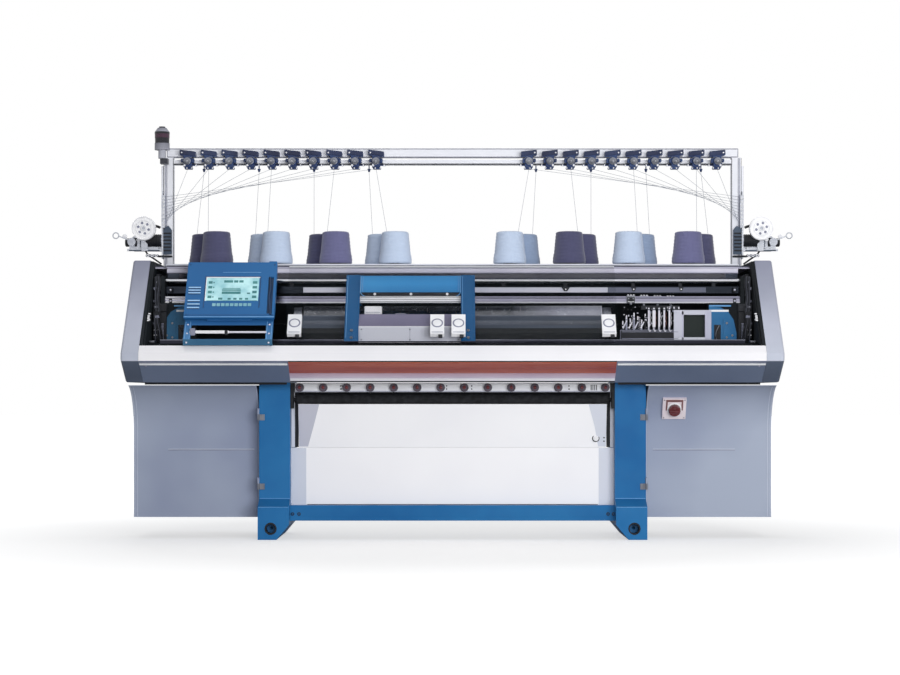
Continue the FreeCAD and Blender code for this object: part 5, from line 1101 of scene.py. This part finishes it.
def make_casting_fronts():
    """Enamelled fronts of the end castings with a machined top and a thin white line, both painted
    highlights, a slot and a bent pipe.
    """
    arch = [(1300, 988), (1440, 988), (1440, 1040), (1425, 1110), (1398, 1150), (1360, 1172),
            (1300, 1176)]
    rib = [(1372, 1000), (1432, 1000), (1426, 1070), (1404, 1110), (1372, 1118)]
    for side, place, mesh in both_sides():
        shift = 30 if side == "left" else 0
        finish = 4 if side == "left" else 0  # the left one stands in the shade
        prism(mesh, lambda x, z, out: place(x + shift, 350 - out, z), arch, 0, 3, finish)
        prism(mesh, lambda x, z, out: place(x + shift, 347 - out, z), rib, 0, 5, finish)
        blocks(mesh, place, [
            # Light-blue top and the thin white line under it: painted highlights.
            ((1300, 344, 1176), (1412, 350, 1184), 1.5, 1),
            ((1302, 346, 1150), (1400, 347, 1160), 0.4, 5),
            ((1326 + shift, 344, 1000), (1360 + shift, 347.5, 1084), 1, 2)])
        hose(mesh, place, [(1340 + shift, 342, 1004), (1334 + shift, 341, 1030),
                           (1340 + shift, 341, 1056), (1352 + shift, 343, 1080)], 2.6, 8, 3)
        screws(mesh, place, [(x + shift, 342, z) for x, z in (
            (1390, 1020), (1418, 1030), (1390, 1092))], FORWARD, 6, 3)
        settle(f"{side}_casting_front", mesh,
               [CASTING_BLUE, LIGHT_BLUE_HIGHLIGHT, BLACK, STEEL, LIT_COPY_BLUE, WHITE], "frame_blue")


# ------------------------------------------------------------------ covers and cabinets

CREASE = 895
APRON_RUN = 165
APRON_DROP = 104
DOOR_FRONT = 420  # depth of a door's flat face
DOOR_TOP_FRONT = 240
DOOR_FOOT = 108
DOOR_BEND = 544
DOOR_TOP = 777
CABINET_REAR = 860
COVER_REAR = 886.5

SWITCH_LEFT = 1067
SWITCH_LOW = 613
SWITCH_HIGH = 716
SWITCH_OUT = 14  # face of the switch's plate, out of the door


def make_cap_screws():
    """Screws and the recessed grip on the side caps."""
    for side, place, mesh in both_sides():
        screws(mesh, place, [(1628.4, 60, 930), (1628.4, 200, 830), (1628.4, 860, 830),
                             (1628.4, 860, 1370), (1628.4, 430, 1370)], OUTWARD[side], 7)
        blocks(mesh, place, [((1628.2, 600, 1080), (1630.2, 720, 1110), 0.8, 1),
                             ((1628.2, 606, 1086), (1631.2, 714, 1090), 0.6, 0)])
        settle(f"{side}_cap_screws", mesh, [STEEL, BLACK], "cover_grey")


def on_apron(x, down, out):
    """Face of the lower apron: across, down along it from the crease and out from it."""
    return leaning(0, CREASE, APRON_RUN, -APRON_DROP)(x, down, -out)


def make_nose_seams():
    """Seams, small screws, the pale bead under the nose, painted pale as the crease's highlight,
    and the aprons' dark foot.
    """
    mesh = bmesh.new()
    # The pale bead below the crease is a trim strip made pale as a painted highlight of the crease.
    for low, high in ((-1539, -811), (811, 1539)):
        blocks(mesh, on_apron, [((low, 9, 0), (high, 18, 0.4), 0.1, 0),
                                ((low, 22, 0), (high, 37, 2), 0.8, 1)])
    screws(mesh, at, [(-1508, 34, 871), (1508, 34, 871)], FORWARD, 5)
    for x in (-1000, -500, 0, 500, 1000):
        chamfered(mesh, at, (x - 1, 31.5, 970.8), (x + 1, 61, 971.3), 0.1, 0)
    for side in OUTWARD:
        chamfered(mesh, mirrored(side), (830, 218, 780), (1541, 230, 791), 0.8, 2)
    settle("nose_seams", mesh, [GREY, WHEEL, BLACK], "cover_light")


def door_curve(z):
    """Depth of a cabinet door's face at a height: flat below the bend, then an arc."""
    step, rise = DOOR_FRONT - DOOR_TOP_FRONT, DOOR_TOP - DOOR_BEND
    radius = (step ** 2 + rise ** 2) / (2 * step)
    if z <= DOOR_BEND:
        return DOOR_FRONT
    return DOOR_FRONT - radius + math.sqrt(radius ** 2 - (z - DOOR_BEND) ** 2)


def make_door_trim():
    """Raised bar and edge beads of each cabinet door, lighter as painted highlights, with a grey
    line under the bar as painted shade.
    """
    heights = [DOOR_FOOT + step * (DOOR_BEND - DOOR_FOOT) / 4 for step in range(5)]
    heights += [DOOR_BEND + step * (770 - DOOR_BEND) / 12 for step in range(1, 13)]
    for side, place, mesh in both_sides():
        low, high = (1011, 1452) if side == "left" else (1023, 1442)
        # The bar and the beads are lighter than the door, painted highlights; the grey line under
        # the bar is painted shade.
        blocks(mesh, place, [((low, 418.4, 450), (high, DOOR_FRONT, 454), 0.7, 0),
                             ((low, 419.2, 445), (high, DOOR_FRONT, 449), 0.3, 1)])
        for x in (990, 1608, 1622):
            tube(mesh, [place(x, door_curve(z) - 0.2, z) for z in heights], 1.6, 6)
        settle(f"{side}_door_trim", mesh, [DOOR_EDGE, GREY], "cover_grey", f"door_{side[0]}")


def make_switch_trim():
    """Red-brown frame, pale plate and the grip of the main switch."""
    run, rise = door_curve(SWITCH_HIGH) - door_curve(SWITCH_LOW), SWITCH_HIGH - SWITCH_LOW
    place = leaning(door_curve(SWITCH_LOW), SWITCH_LOW, run, rise, SWITCH_LEFT)
    outward = out_of(place)
    long = math.hypot(run, rise)
    middle, centre = 59.5, long / 2
    mesh = bmesh.new()
    for left, right, low, high in ((16, 103, 42, 54), (16, 24, -8, 42), (95, 103, -8, 42)):
        chamfered(mesh, place, (left, centre + low, SWITCH_OUT), (right, centre + high, 16.5), 0.8)
    button(mesh, place(middle, centre, SWITCH_OUT), outward, (37, 2), (34, 4), 40, 1)
    screws(mesh, place, itertools.product((8, 111), (8, long - 8), (SWITCH_OUT,)), outward, 3.5,
           2)
    settle("switch_frame", mesh, [SWITCH_BROWN, WHITE, STEEL], "switch_plate", "door_r")
    mesh = bmesh.new()
    chamfered(mesh, place, (middle - 27, centre - 7, 40), (middle + 27, centre + 7, 47), 2.5)
    for u, v in around(20, 29):
        turned(mesh, [(0, 0), (1.8, 0), (1.8, 20), (0, 21)], place(middle + u, centre + v, 17),
               outward, 8)
    settle("switch_grip", mesh, [RED], "switch_red", "main_switch")


def make_cabinet_backs():
    """Louvres, seams and screws behind and beside the cabinets."""
    for side, place, mesh in both_sides():
        for x in (1120, 1340):
            louvres(mesh, lambda depth, z, u: place(u, depth, z), CABINET_REAR, (3.5, 1),
                    (x, x + 150), range(560, 720, 16), 10)
        louvres(mesh, lambda x, z, depth: place(x, depth, z), 1627, (3, 1), (560, 720),
                range(180, 292, 16), 10)
        screws(mesh, place, itertools.product((1000, 1606), (CABINET_REAR,), (130, 440, 750)),
               BACK, 5, 1)
        chamfered(mesh, place, (990, CABINET_REAR, 118), (1616, 861.5, 121), 0.4, 0)
        settle(f"{side}_cabinet_back", mesh, [DOOR_EDGE, STEEL], "cover_grey")


def make_rear_cover_trim():
    """Two service panels with louvres, handles and screws on the rear cover."""
    mesh = bmesh.new()
    for x in (-760, 760):
        chamfered(mesh, at, (x - 700, 884, 840), (x + 700, COVER_REAR, 1340), 1.2, 0)
        screws(mesh, at, itertools.product((x - 680, x - 230, x + 230, x + 680), (COVER_REAR,),
                                           (860, 1320)), BACK, 6, 1)
        for middle in (x - 400, x + 400):
            louvres(mesh, lambda depth, z, u: at(u, depth, z), COVER_REAR, (4.5, 2),
                    (middle - 110, middle + 110), range(900, 1080, 20), 13)
            hose(mesh, at, [(middle - 60, 886, 1230), (middle - 55, 895, 1230),
                            (middle + 55, 895, 1230), (middle + 60, 886, 1230)], 5, 10, 2)
    settle("rear_cover_trim", mesh, [COVER, STEEL, BLACK], "cover_grey")


# ------------------------------------------------------------------ take-down and chute

KNOB_Z = 766
KNOB_PITCH = 119
BAR_FRONT = 335
BIN_FRONT = 400
CHUTE_LOW = 462  # lower edge of the upper chute panel, in line with the bin's front
CHUTE_HIGH = 652
CHUTE_TOP_FRONT = 352
CHUTE_LEAN = (BIN_FRONT - CHUTE_TOP_FRONT) / (CHUTE_HIGH - CHUTE_LOW)
BEAM_FRONT = 340
HOLE_Z = 56  # lifting holes in the feet
UPRIGHT_FRONT = 330


def make_take_down_trim():
    """Knob rims, dot pairs, edge lines and the dark sheets behind the take-down bar, a guard in
    black as painted shade.
    """
    mesh = bmesh.new()
    for index in range(14):
        x = (index - 6.5) * KNOB_PITCH
        button(mesh, at(x, BAR_FRONT, KNOB_Z), FORWARD, (21.5, 3), (20, 4), 28, 0)
        turned(mesh, [(0, 0), (9, 0), (8, 4), (4, 5.5), (0, 5.5)], at(x, 313, KNOB_Z), FORWARD,
               24, 1)
        for u, v in around(12, 19.5):
            turned(mesh, [(0, 0), (1.6, 0), (1.6, 17), (0, 18)], at(x + u, 331, KNOB_Z + v),
                   FORWARD, 6, 2)
        chamfered(mesh, at, (x - 1.5, 307.5, KNOB_Z), (x + 1.5, 310, 781), 0.6, 1)
    for x, z in itertools.product((-567, -560, -30, 97, 590), (758, 774)):
        turned(mesh, [(0, 0), (3.5, 0), (3.5, 1.5), (0, 1.5)], at(x, BAR_FRONT, z), FORWARD, 12)
    for z in (747, 784):
        chamfered(mesh, at, (-796, 333.6, z), (796, BAR_FRONT, z + 2), 0.4, 3)
    for x in (700, 709, 718, 727):
        chamfered(mesh, at, (x, 333, 752), (x + 4, BAR_FRONT, 780), 0.6, 0)
    # Black sheets behind the bar and at its ends: a guard whose black is painted shade under the
    # bar.
    chamfered(mesh, at, (-806, 461, 660), (806, 464, 743), 0.6, 0)
    for side in OUTWARD:
        chamfered(mesh, mirrored(side), (803, 446, 664), (806, 464, 740), 0.6, 0)
    settle("take_down_trim", mesh, [BLACK, RED, KNOB_FACE, GREY], "take_steel")


def on_chute(x, z, out):
    """Face of the upper chute panel: across, height and out from it."""
    return at(x, BIN_FRONT - (z - CHUTE_LOW) * CHUTE_LEAN - out, z)


def make_chute_trim():
    """Top lip, folded gussets, knob ring and two small screws on the upper chute panel; the
    gussets' grey is painted shade from the legs.
    """
    mesh = bmesh.new()
    chamfered(mesh, on_chute, (-782, 651, -1.5), (782, 682, 0), 0.4, 4)
    # The gussets' grey, darker on the left: painted shade cast by the legs.
    for side, corners, high, finish in (
            (-1, [(781, 466), (736, 466), (706, 570), (676, 681), (781, 681)], 1.2, 0),
            (1, [(781, 466), (742, 466), (722, 570), (690, 681), (781, 681)], 1.0, 1)):
        prism(mesh, on_chute, [(side * x, z) for x, z in corners], 0, high, finish)
    outward = on_chute(0, 500, 1) - on_chute(0, 500, 0)
    button(mesh, on_chute(729, 508, 0), outward, (19, 2), (16, 3), 32, 2)
    turned(mesh, [(0, 0), (11, 0), (12, 2), (9, 4), (0, 4.5)], on_chute(729, 508, 13.5), outward,
           32, 3)
    screws(mesh, on_chute, [(771, 493, 0.5), (771, 511, 0.5)], outward, 4, 2)
    settle("chute_trim", mesh, [GUSSET, STRIP, BLACK, WHITE, CHUTE], "chute_white", "chute")


def make_bin_strips():
    """Lilac side strips, the hem and the dark slots beside the fabric bin; the slots are black
    strips, painted shade in the gaps by the legs.
    """
    mesh = bmesh.new()
    for side in OUTWARD:
        blocks(mesh, mirrored(side), [
            ((745, 398.4, 171), (820, BIN_FRONT, 459), 0.5, 0),
            # Black strip: painted shade in the gap between the chute and the leg.
            ((784, 406, 462), (821, 408, 742), 0.5, 2),
            ((803, 400, 462), (821, 402, 742), 0.5, 0)])
    chamfered(mesh, at, (-741, 398.8, 452), (741, BIN_FRONT, 459), 0.4, 1)
    settle("bin_strips", mesh, [STRIP, CHUTE, BLACK], "chute_white")


def make_crossbeam_bolts():
    """Bolt heads and the dark seal over the front crossbeam."""
    mesh = bmesh.new()
    for x in (-811, -778, 788, 816):
        button(mesh, at(x, BEAM_FRONT, 125), FORWARD, (9, 1), (7, 1.4), 20)
        screw(mesh, at(x, BEAM_FRONT - 1.4, 125), FORWARD, 5, 1)
    chamfered(mesh, at, (-740, 396, 169.2), (740, 399, 172), 0.5, 0)
    settle("crossbeam_bolts", mesh, [BLACK, DARK_BLUE], "frame_blue")


def make_leg_trim():
    """Light lines on the feet's edges, painted highlights, and dark sleeves in the lifting holes,
    painted shade inside them.
    """
    for side, place, mesh in both_sides():
        blocks(mesh, place, [
            ((824, 249, 163), (977, 251, 166), 0.5, 0),
            ((824, UPRIGHT_FRONT - 1, 203), (977, UPRIGHT_FRONT + 1, 206), 0.5, 0)])
        hole = place(914, 252, HOLE_Z)
        # Black sleeve and dark-blue disc in each hole: painted shade inside it.
        for inner, outer, low, high, finish in ((24, 30.8, 0, -110, 1), (8, 24, -60, -64, 2)):
            turned(mesh, [(inner, low), (outer, low), (outer, high), (inner, high), (inner, low)],
                   hole, FORWARD, 36, finish)
        settle(f"{side}_leg_trim", mesh, [LIGHT_BLUE_HIGHLIGHT, BLACK, DARK_BLUE], "frame_blue")


# ------------------------------------------------------------------ creel

UNIT_FRONT = 618
UNIT_LOW = 1915
UNIT_FIRST = 398
UNIT_PITCH = 109
POST_FRONT = 668
POST_REAR = 712
POST_INNER = 1458
CONE_FOOT = 1408
CONE_HIGH = 167
CONE_RADIUS = 85
CONE_TAPER = 16  # how much less its radius is at the top
CONE_BELLY = 2.56
CONE_SHOULDER = 9
CONE_RISE = 2.9  # height over which a crossing turn goes one radian on
CORE_RADIUS = 22
CONE_ROWS = (600, 780)  # depth of the front and the rear row
PALER_CONES = (-606, 1224)
CONES = (
    ("purple_cones", PURPLE_YARN, "yarn_purple", (
        (-1, 0, (606, 1224)), (-1, 1, (687, 1305)), (1, 0, (606, 1224)), (1, 1, (687, 1305)))),
    ("pale_cones", PALE_YARN, "yarn_pale", (
        (-1, 0, (297, 915)), (-1, 1, (378, 996)), (1, 0, (297, 915)))),
    ("blue_cones", BLUE_YARN, "yarn_blue", ((1, 1, (378, 996)),)),
)


def fit_unit(mesh, unit):
    """Head plate, tension discs, spring and clips of one yarn control unit."""
    def head(x, out, up):
        return unit(x, -out, 58 + x * 10 / 82 + up)

    blocks(mesh, head, [((-40, 0, 3), (40, 4, 22), 1.5, 1),
                        ((-40, -48, 24), (40, 2, 27), 1, 1)])
    turned(mesh, [(0, 0), (4.5, 0), (3.5, 4), (0, 5)], head(30, 4, 12), FORWARD, 12, 2)
    turned(mesh, [(0, 0), (18, 0), (19, 2), (11, 4), (10, 5), (0, 5)], unit(0, -14, 29),
           FORWARD, 28, 3)
    button(mesh, unit(0, -19, 29), FORWARD, (5, 9), (3, 11), 16, 2)
    tube(mesh, [unit(u, -30 - step * 0.4, 29 + v)
                for step, (u, v) in enumerate(around(25, 4, step=45))], 0.7, 6, 3)
    blocks(mesh, unit, [
        ((-46, 17, 5), (-38, 27, 15), 1.5, 2),
        ((10, -3, 3), (20, 0, 15), 1, 2),
        ((-34, -2, 20), (-21, 30, 46), 3, 0),
        ((21, 6, 26), (36, 34, 44), 3, 0),
        ((-26, 4, -12), (16, 30, 0), 3, 0)])
    hose(mesh, unit, [(-30, -3, 42), (-12, -9, 50), (12, -6, 44), (28, 2, 30)], 1.3, 6, 3)
    for x in (-22, 4):
        button(mesh, unit(x, 4, -6), FORWARD, (4, 3), (2, 5), 12, 2)


def make_unit_fittings():
    """Fittings of the ten yarn control units on each side."""
    for side, place, mesh in both_sides():
        for index in range(10):
            middle = UNIT_FIRST + UNIT_PITCH * index
            fit_unit(mesh, lambda x, depth, z: place(middle + x, UNIT_FRONT + depth,
                                                     UNIT_LOW + z))
        settle(f"{side}_unit_fittings", mesh, [NAVY, HEAD_PLATE, WHITE, STEEL], "unit_navy")


def make_creel_trim():
    """Groove lines on posts and beam, side channels, foot plates and the beam's end caps."""
    mesh = bmesh.new()
    for side in OUTWARD:
        place = mirrored(side)
        for inset, half, finish in ((1.6, 1.5, 3), (35, 1.5, 0), (41, 2.2, 2), (50.5, 1.4, 3)):
            low, high = POST_INNER + inset - half, POST_INNER + inset + half
            blocks(mesh, place, [
                ((low, POST_FRONT - 0.8, 1396), (high, POST_FRONT, 1966), 0.2, finish),
                ((low, POST_REAR, 1396), (high, POST_REAR + 0.8, 1966), 0.2, finish)])
        blocks(mesh, place, [
            ((1510, 676, 1792), (1523, 700, 1926), 2, 1),
            ((1446, 655, 1386), (1522, 725, 1396), 2, 2),
            ((1490, 669, 1971), (1494, 711, 2017), 1.5, 2)])
    for half, low, high, finish in ((1489, 2012, 2016, 0), (1457, 1931, 1938, 3),
                                    (1489, 1970, 1974, 0)):
        chamfered(mesh, at, (-half, POST_FRONT - 0.8, low), (half, POST_FRONT, high), 0.2, finish)
    settle("creel_trim", mesh, [GROOVE, POST, GREY, BLACK], "creel_aluminium")


def wind(mesh, x, depth, finish):
    """One wound cone: rounded shoulders and foot, and turns that cross all round it."""
    steps, rows = 56, 44
    foot = at(x, depth, CONE_FOOT)
    rings = []
    for row in range(rows + 1):
        share = row / rows
        radius = CONE_RADIUS - CONE_TAPER * share
        radius += CONE_BELLY * math.sin(math.pi * min(share / 0.35, 1))
        tuck = min(share / 0.05, (1 - share) / 0.045, 1)
        radius -= CONE_SHOULDER * (1 - math.sqrt(max(1 - (1 - tuck) ** 2, 0)))
        up = share * CONE_HIGH
        ring = []
        for step, (u, v) in enumerate(around(steps, 1)):
            angle = 2 * math.pi * step / steps
            turns = sum(math.sin(up / CONE_RISE + way * angle) for way in (3, -3))
            out = radius - 0.4 + 0.35 * turns
            ring.append(mesh.verts.new(foot + Vector((out * u, out * v, up)) / 1000))
        rings.append(ring)
    for lower, upper in zip(rings, rings[1:]):
        band(mesh, lower, upper, finish)
    core = [[mesh.verts.new(foot + Vector((u, v, up)) / 1000)
             for u, v in around(steps, CORE_RADIUS)] for up in (CONE_HIGH - 2, 2)]
    for lower, upper in ((rings[-1], core[0]), (core[0], core[1]), (core[1], rings[0])):
        band(mesh, lower, upper)
    turned(mesh, [(20.5, -1), (21.8, -1), (21.8, CONE_HIGH + 1), (20.5, CONE_HIGH + 1),
                  (20.5, -1)], foot, UP, 32, 1)


def make_wound_cones():
    """Cones as wound, in three colours, each with its paper core."""
    for node, yarn, slot, rows in CONES:
        mesh = bmesh.new()
        for sign, row, spots in rows:
            for spot in spots:
                wind(mesh, sign * spot, CONE_ROWS[row], 2 if sign * spot in PALER_CONES else 0)
        piece = settle(f"wound_{node}", mesh, [yarn, PAPER, LILAC_YARN], slot, sharp=50)
        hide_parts(node)


# ------------------------------------------------------------------ side feeders

FEEDER_FRONT = 668
WHEEL_X = 1606
WHEEL_FRONT = 605
WHEEL_Z = 1595
ARC_X = 1560  # centre and radius of the guard arc over the wheel
ARC_Z = 1536
ARC_RADIUS = 74


def feeder_motor(mesh, side, place):
    """Ribbed drum, collar and end knob of the feeder's motor."""
    drum = [(0, 0), (31, 0), (31, 4)]
    for rib in range(6, 78, 9):
        drum += [(31, rib), (33.5, rib + 1), (33.5, rib + 5), (31, rib + 6)]
    drum += [(31, 80), (26, 84), (0, 84)]
    turned(mesh, drum, place(1519, FEEDER_FRONT, 1535), OUTWARD[side], 36, 0)
    collar = [(1466, 1462), (1516, 1462), (1516, 1575), (1500, 1604), (1484, 1612), (1466, 1590)]
    prism(mesh, lambda x, z, out: place(x, FEEDER_FRONT - out, z), collar, 0.2, 14, 1)
    for low in range(1478, 1586, 18):
        chamfered(mesh, place, (1470, 651, low), (1512, 654, low + 8), 1.5, 0)
    button(mesh, place(1690.5, 688, 1526), OUTWARD[side], (22, 18), (18, 22), 28, 0)
    screws(mesh, place, [(1534, FEEDER_FRONT, 1494), (1628, FEEDER_FRONT, 1494),
                         (1534, FEEDER_FRONT, 1546)], FORWARD, 5, 3)
    for low, high in ((1600, 1608), (1616, 1622), (1630, 1634)):
        chamfered(mesh, place, (low, 665.5, 1500), (high, FEEDER_FRONT, 1552), 0.8, 1)


def feeder_guides(mesh, place):
    """Guard arc over the wheel, yarn guides and their bars."""
    arc = [place(ARC_X + u, 640, ARC_Z + v) for u, v in around(13, ARC_RADIUS, 48, 6)]
    for spot, after in zip(arc, arc[1:]):
        tube(mesh, [spot, spot.lerp(after, 0.8)], 7, 10, 0)
    tube(mesh, arc, 5.5, 10, 0)
    for x, z, radius in ((1640, 1540, 11), (1712, 1556, 12)):
        button(mesh, place(x, 662, z), FORWARD, (radius, 4), (radius * 0.6, 7), 28, 2)
    hose(mesh, place, [(1606, 676, 1482), (1592, 672, 1462), (1560, 664, 1440),
                       (1520, 656, 1412)], 4.5, 10)
    for x in (1545, 1566, 1588):
        eyelet(mesh, place(x, 640, 1455), FORWARD, (3.4, 4, 7.5, 8.5), 6, 20, 2)
    for step in range(8):
        eyelet(mesh, place(1506, 639.6, 1617 + step * 19.5), FORWARD, (1.6, 2, 5, 6), 4, 16, 2)
    blocks(mesh, place, [
        ((1552, 634, 1596), (1562, 652, 1610), 2, 2),
        ((1534, 640, 1448), (1600, 662, 1462), 3, 1),
        ((1462, 640, 1446), (1536, 656, 1456), 2, 0),
        ((1530, 660, 1480), (1690, 664, 1486), 1, 1),
        ((1648, 664, 1504), (1689, FEEDER_FRONT, 1549), 3, 0)])


def make_feeder_fittings():
    """Motor, guard arc, yarn guides and screws of the side feeders."""
    for side, place, mesh in both_sides():
        feeder_motor(mesh, side, place)
        feeder_guides(mesh, place)
        settle(f"{side}_feeder_fittings", mesh, [BLACK, COLLAR, WHITE, STEEL], "feeder_grey")


def make_wheel_faces():
    """Hub, dimples and rims on both feeder wheels."""
    for side, place, mesh in both_sides():
        hub = place(WHEEL_X, WHEEL_FRONT, WHEEL_Z)
        turned(mesh, [(9, 0), (16, 0), (17, 3), (13, 5), (9, 5), (9, 0)], hub, FORWARD, 32, 0)
        for radius in (40, 58):
            turned(mesh, [(radius - 2, 0), (radius + 2, 0), (radius + 1, 2), (radius - 1, 2),
                          (radius - 2, 0)], hub, FORWARD, 48, 0)
        for u, v in around(6, 28, 15):
            turned(mesh, [(0, 0), (7, 0), (6, 1.6), (0, 1)],
                   place(WHEEL_X + u, WHEEL_FRONT, WHEEL_Z + v), FORWARD, 20, 1)
        settle(f"{side}_wheel_face", mesh, [WHITE, GREY], "wheel_white", f"wheel_{side[0]}")


for make in (make_latch_knobs, make_window_edges, make_screen_blocks, make_panel_trim,
             make_bracket_bolts, make_bow_fittings, make_cam_box_trim, make_needles,
             make_bed_strips, make_rail_fittings, make_carrier_fittings, make_clamp_fittings,
             make_park_box_trim, make_end_linings, make_end_mechanisms, make_casting_fronts,
             make_cap_screws, make_nose_seams, make_door_trim, make_switch_trim,
             make_cabinet_backs, make_rear_cover_trim, make_take_down_trim, make_chute_trim,
             make_bin_strips, make_crossbeam_bolts, make_leg_trim, make_unit_fittings,
             make_creel_trim, make_wound_cones, make_feeder_fittings, make_wheel_faces):
    make()


# ------------------------------------------------------------------ studio

FLOOR_REACH = 60
CAMERA_AWAY = 10
CAMERA_UP = 0.728
CAMERA_LENS = 81.63
CAMERA_SHIFT = (-0.0028, 0.0639)
GLOW_NEAR = 1.6  # metres from the machine's middle
GLOW_FAR = 4.5
GLOW_LEAST = 0.56
LAMPS = (
    ("overhead_softbox", (0, -0.6, 4.6), (0, 0, 0.9), 6, 3, 45),
    ("front_softbox", (2.0, -7.5, 1.5), (0, 0, 0.9), 5, 2.6, 440),
    ("rear_softbox", (-1.5, 6.5, 2.6), (0, 0, 1.0), 4, 2.4, 140),
)


def pale_floor():
    """Matt pale floor that keeps the machine's shadow and runs to white before the camera."""
    made, tree, shader, place = start("matt_pale_floor", 0.95, Specular_IOR_Level=0.0)
    feed(tree, shader, Base_Color=mottle(tree, place, "c0c0c0", "c4c4c4", 900))
    rays = add(tree, "LightPath")
    # The glow hides the floor's far edge, and the room's light on it is taken off by the shadow.
    far = add(tree, "VectorMath", {0: place}, operation="LENGTH")
    glow = add(tree, "MapRange", {
        "Value": far.outputs["Value"], "From Min": GLOW_NEAR, "From Max": GLOW_FAR,
        "To Min": GLOW_LEAST, "To Max": 1.0})
    seen = add(tree, "Math", {0: rays.outputs["Is Camera Ray"], 1: glow.outputs["Result"]},
               operation="MULTIPLY")
    light = add(tree, "Emission", {"Color": (1, 1, 1, 1), "Strength": seen.outputs["Value"]})
    both = add(tree, "AddShader", {0: shader.outputs["BSDF"], 1: light.outputs["Emission"]})
    out = next(n for n in tree.nodes if n.type == "OUTPUT_MATERIAL")
    feed(tree, out, Surface=both.outputs["Shader"])
    return made


def make_floor():
    """Wide floor just under the feet."""
    mesh = bpy.data.meshes.new("studio_floor")
    mesh.from_pydata([(x * FLOOR_REACH, y * FLOOR_REACH, 0) for x, y in (
        (-1, -1), (1, -1), (1, 1), (-1, 1))], [], [(0, 1, 2, 3)])
    mesh.materials.append(pale_floor())
    floor = bpy.data.objects.new("studio_floor", mesh)
    floor.location.z = -0.001
    bpy.context.scene.collection.objects.link(floor)


def make_world():
    """White room before the camera and in gloss, with less light on matt surfaces."""
    world = bpy.data.worlds.new("soft_white_room")
    bpy.context.scene.world = world
    world.use_nodes = True
    tree = world.node_tree
    tree.nodes.clear()
    rays = add(tree, "LightPath")
    straight = add(tree, "Math", {0: rays.outputs["Is Camera Ray"],
                                  1: rays.outputs["Is Transmission Ray"]}, operation="MAXIMUM")
    matt, gloss, white = [
        add(tree, "Background", {"Color": srgb(code), "Strength": strength}).outputs["Background"]
        for code, strength in (("f4f6fa", 0.3), ("f6f7fa", 0.8), ("ffffff", 1.0))]
    lit = add(tree, "MixShader", {0: rays.outputs["Is Glossy Ray"], 1: matt, 2: gloss})
    mixed = add(tree, "MixShader", {0: straight.outputs["Value"], 1: lit.outputs["Shader"],
                                    2: white})
    feed(tree, add(tree, "OutputWorld"), Surface=mixed.outputs["Shader"])


def softbox(name, place, aim, wide, high, watts):
    """Soft area lamp that isn't seen in gloss."""
    lamp = bpy.data.lights.new(name, "AREA")
    lamp.shape = "RECTANGLE"
    lamp.size = wide
    lamp.size_y = high
    lamp.energy = watts
    made = bpy.data.objects.new(name, lamp)
    made.location = place
    made.rotation_euler = (Vector(aim) - Vector(place)).to_track_quat("-Z", "Y").to_euler()
    made.visible_glossy = False
    bpy.context.scene.collection.objects.link(made)


def make_camera():
    """Level camera 10 m in front of the nose, at the height of the take-down bar."""
    data = bpy.data.cameras.new("photographer")
    data.sensor_width = 36
    data.lens = CAMERA_LENS
    data.shift_x, data.shift_y = CAMERA_SHIFT
    camera = bpy.data.objects.new("photographer", data)
    camera.location = (0, -HALF_DEPTH - CAMERA_AWAY, CAMERA_UP)
    camera.rotation_euler = (math.radians(90), 0, 0)
    bpy.context.scene.collection.objects.link(camera)
    bpy.context.scene.camera = camera


make_floor()
make_world()
for lamp in LAMPS:
    softbox(*lamp)
make_camera()
bpy.context.scene.view_settings.view_transform = "Standard"
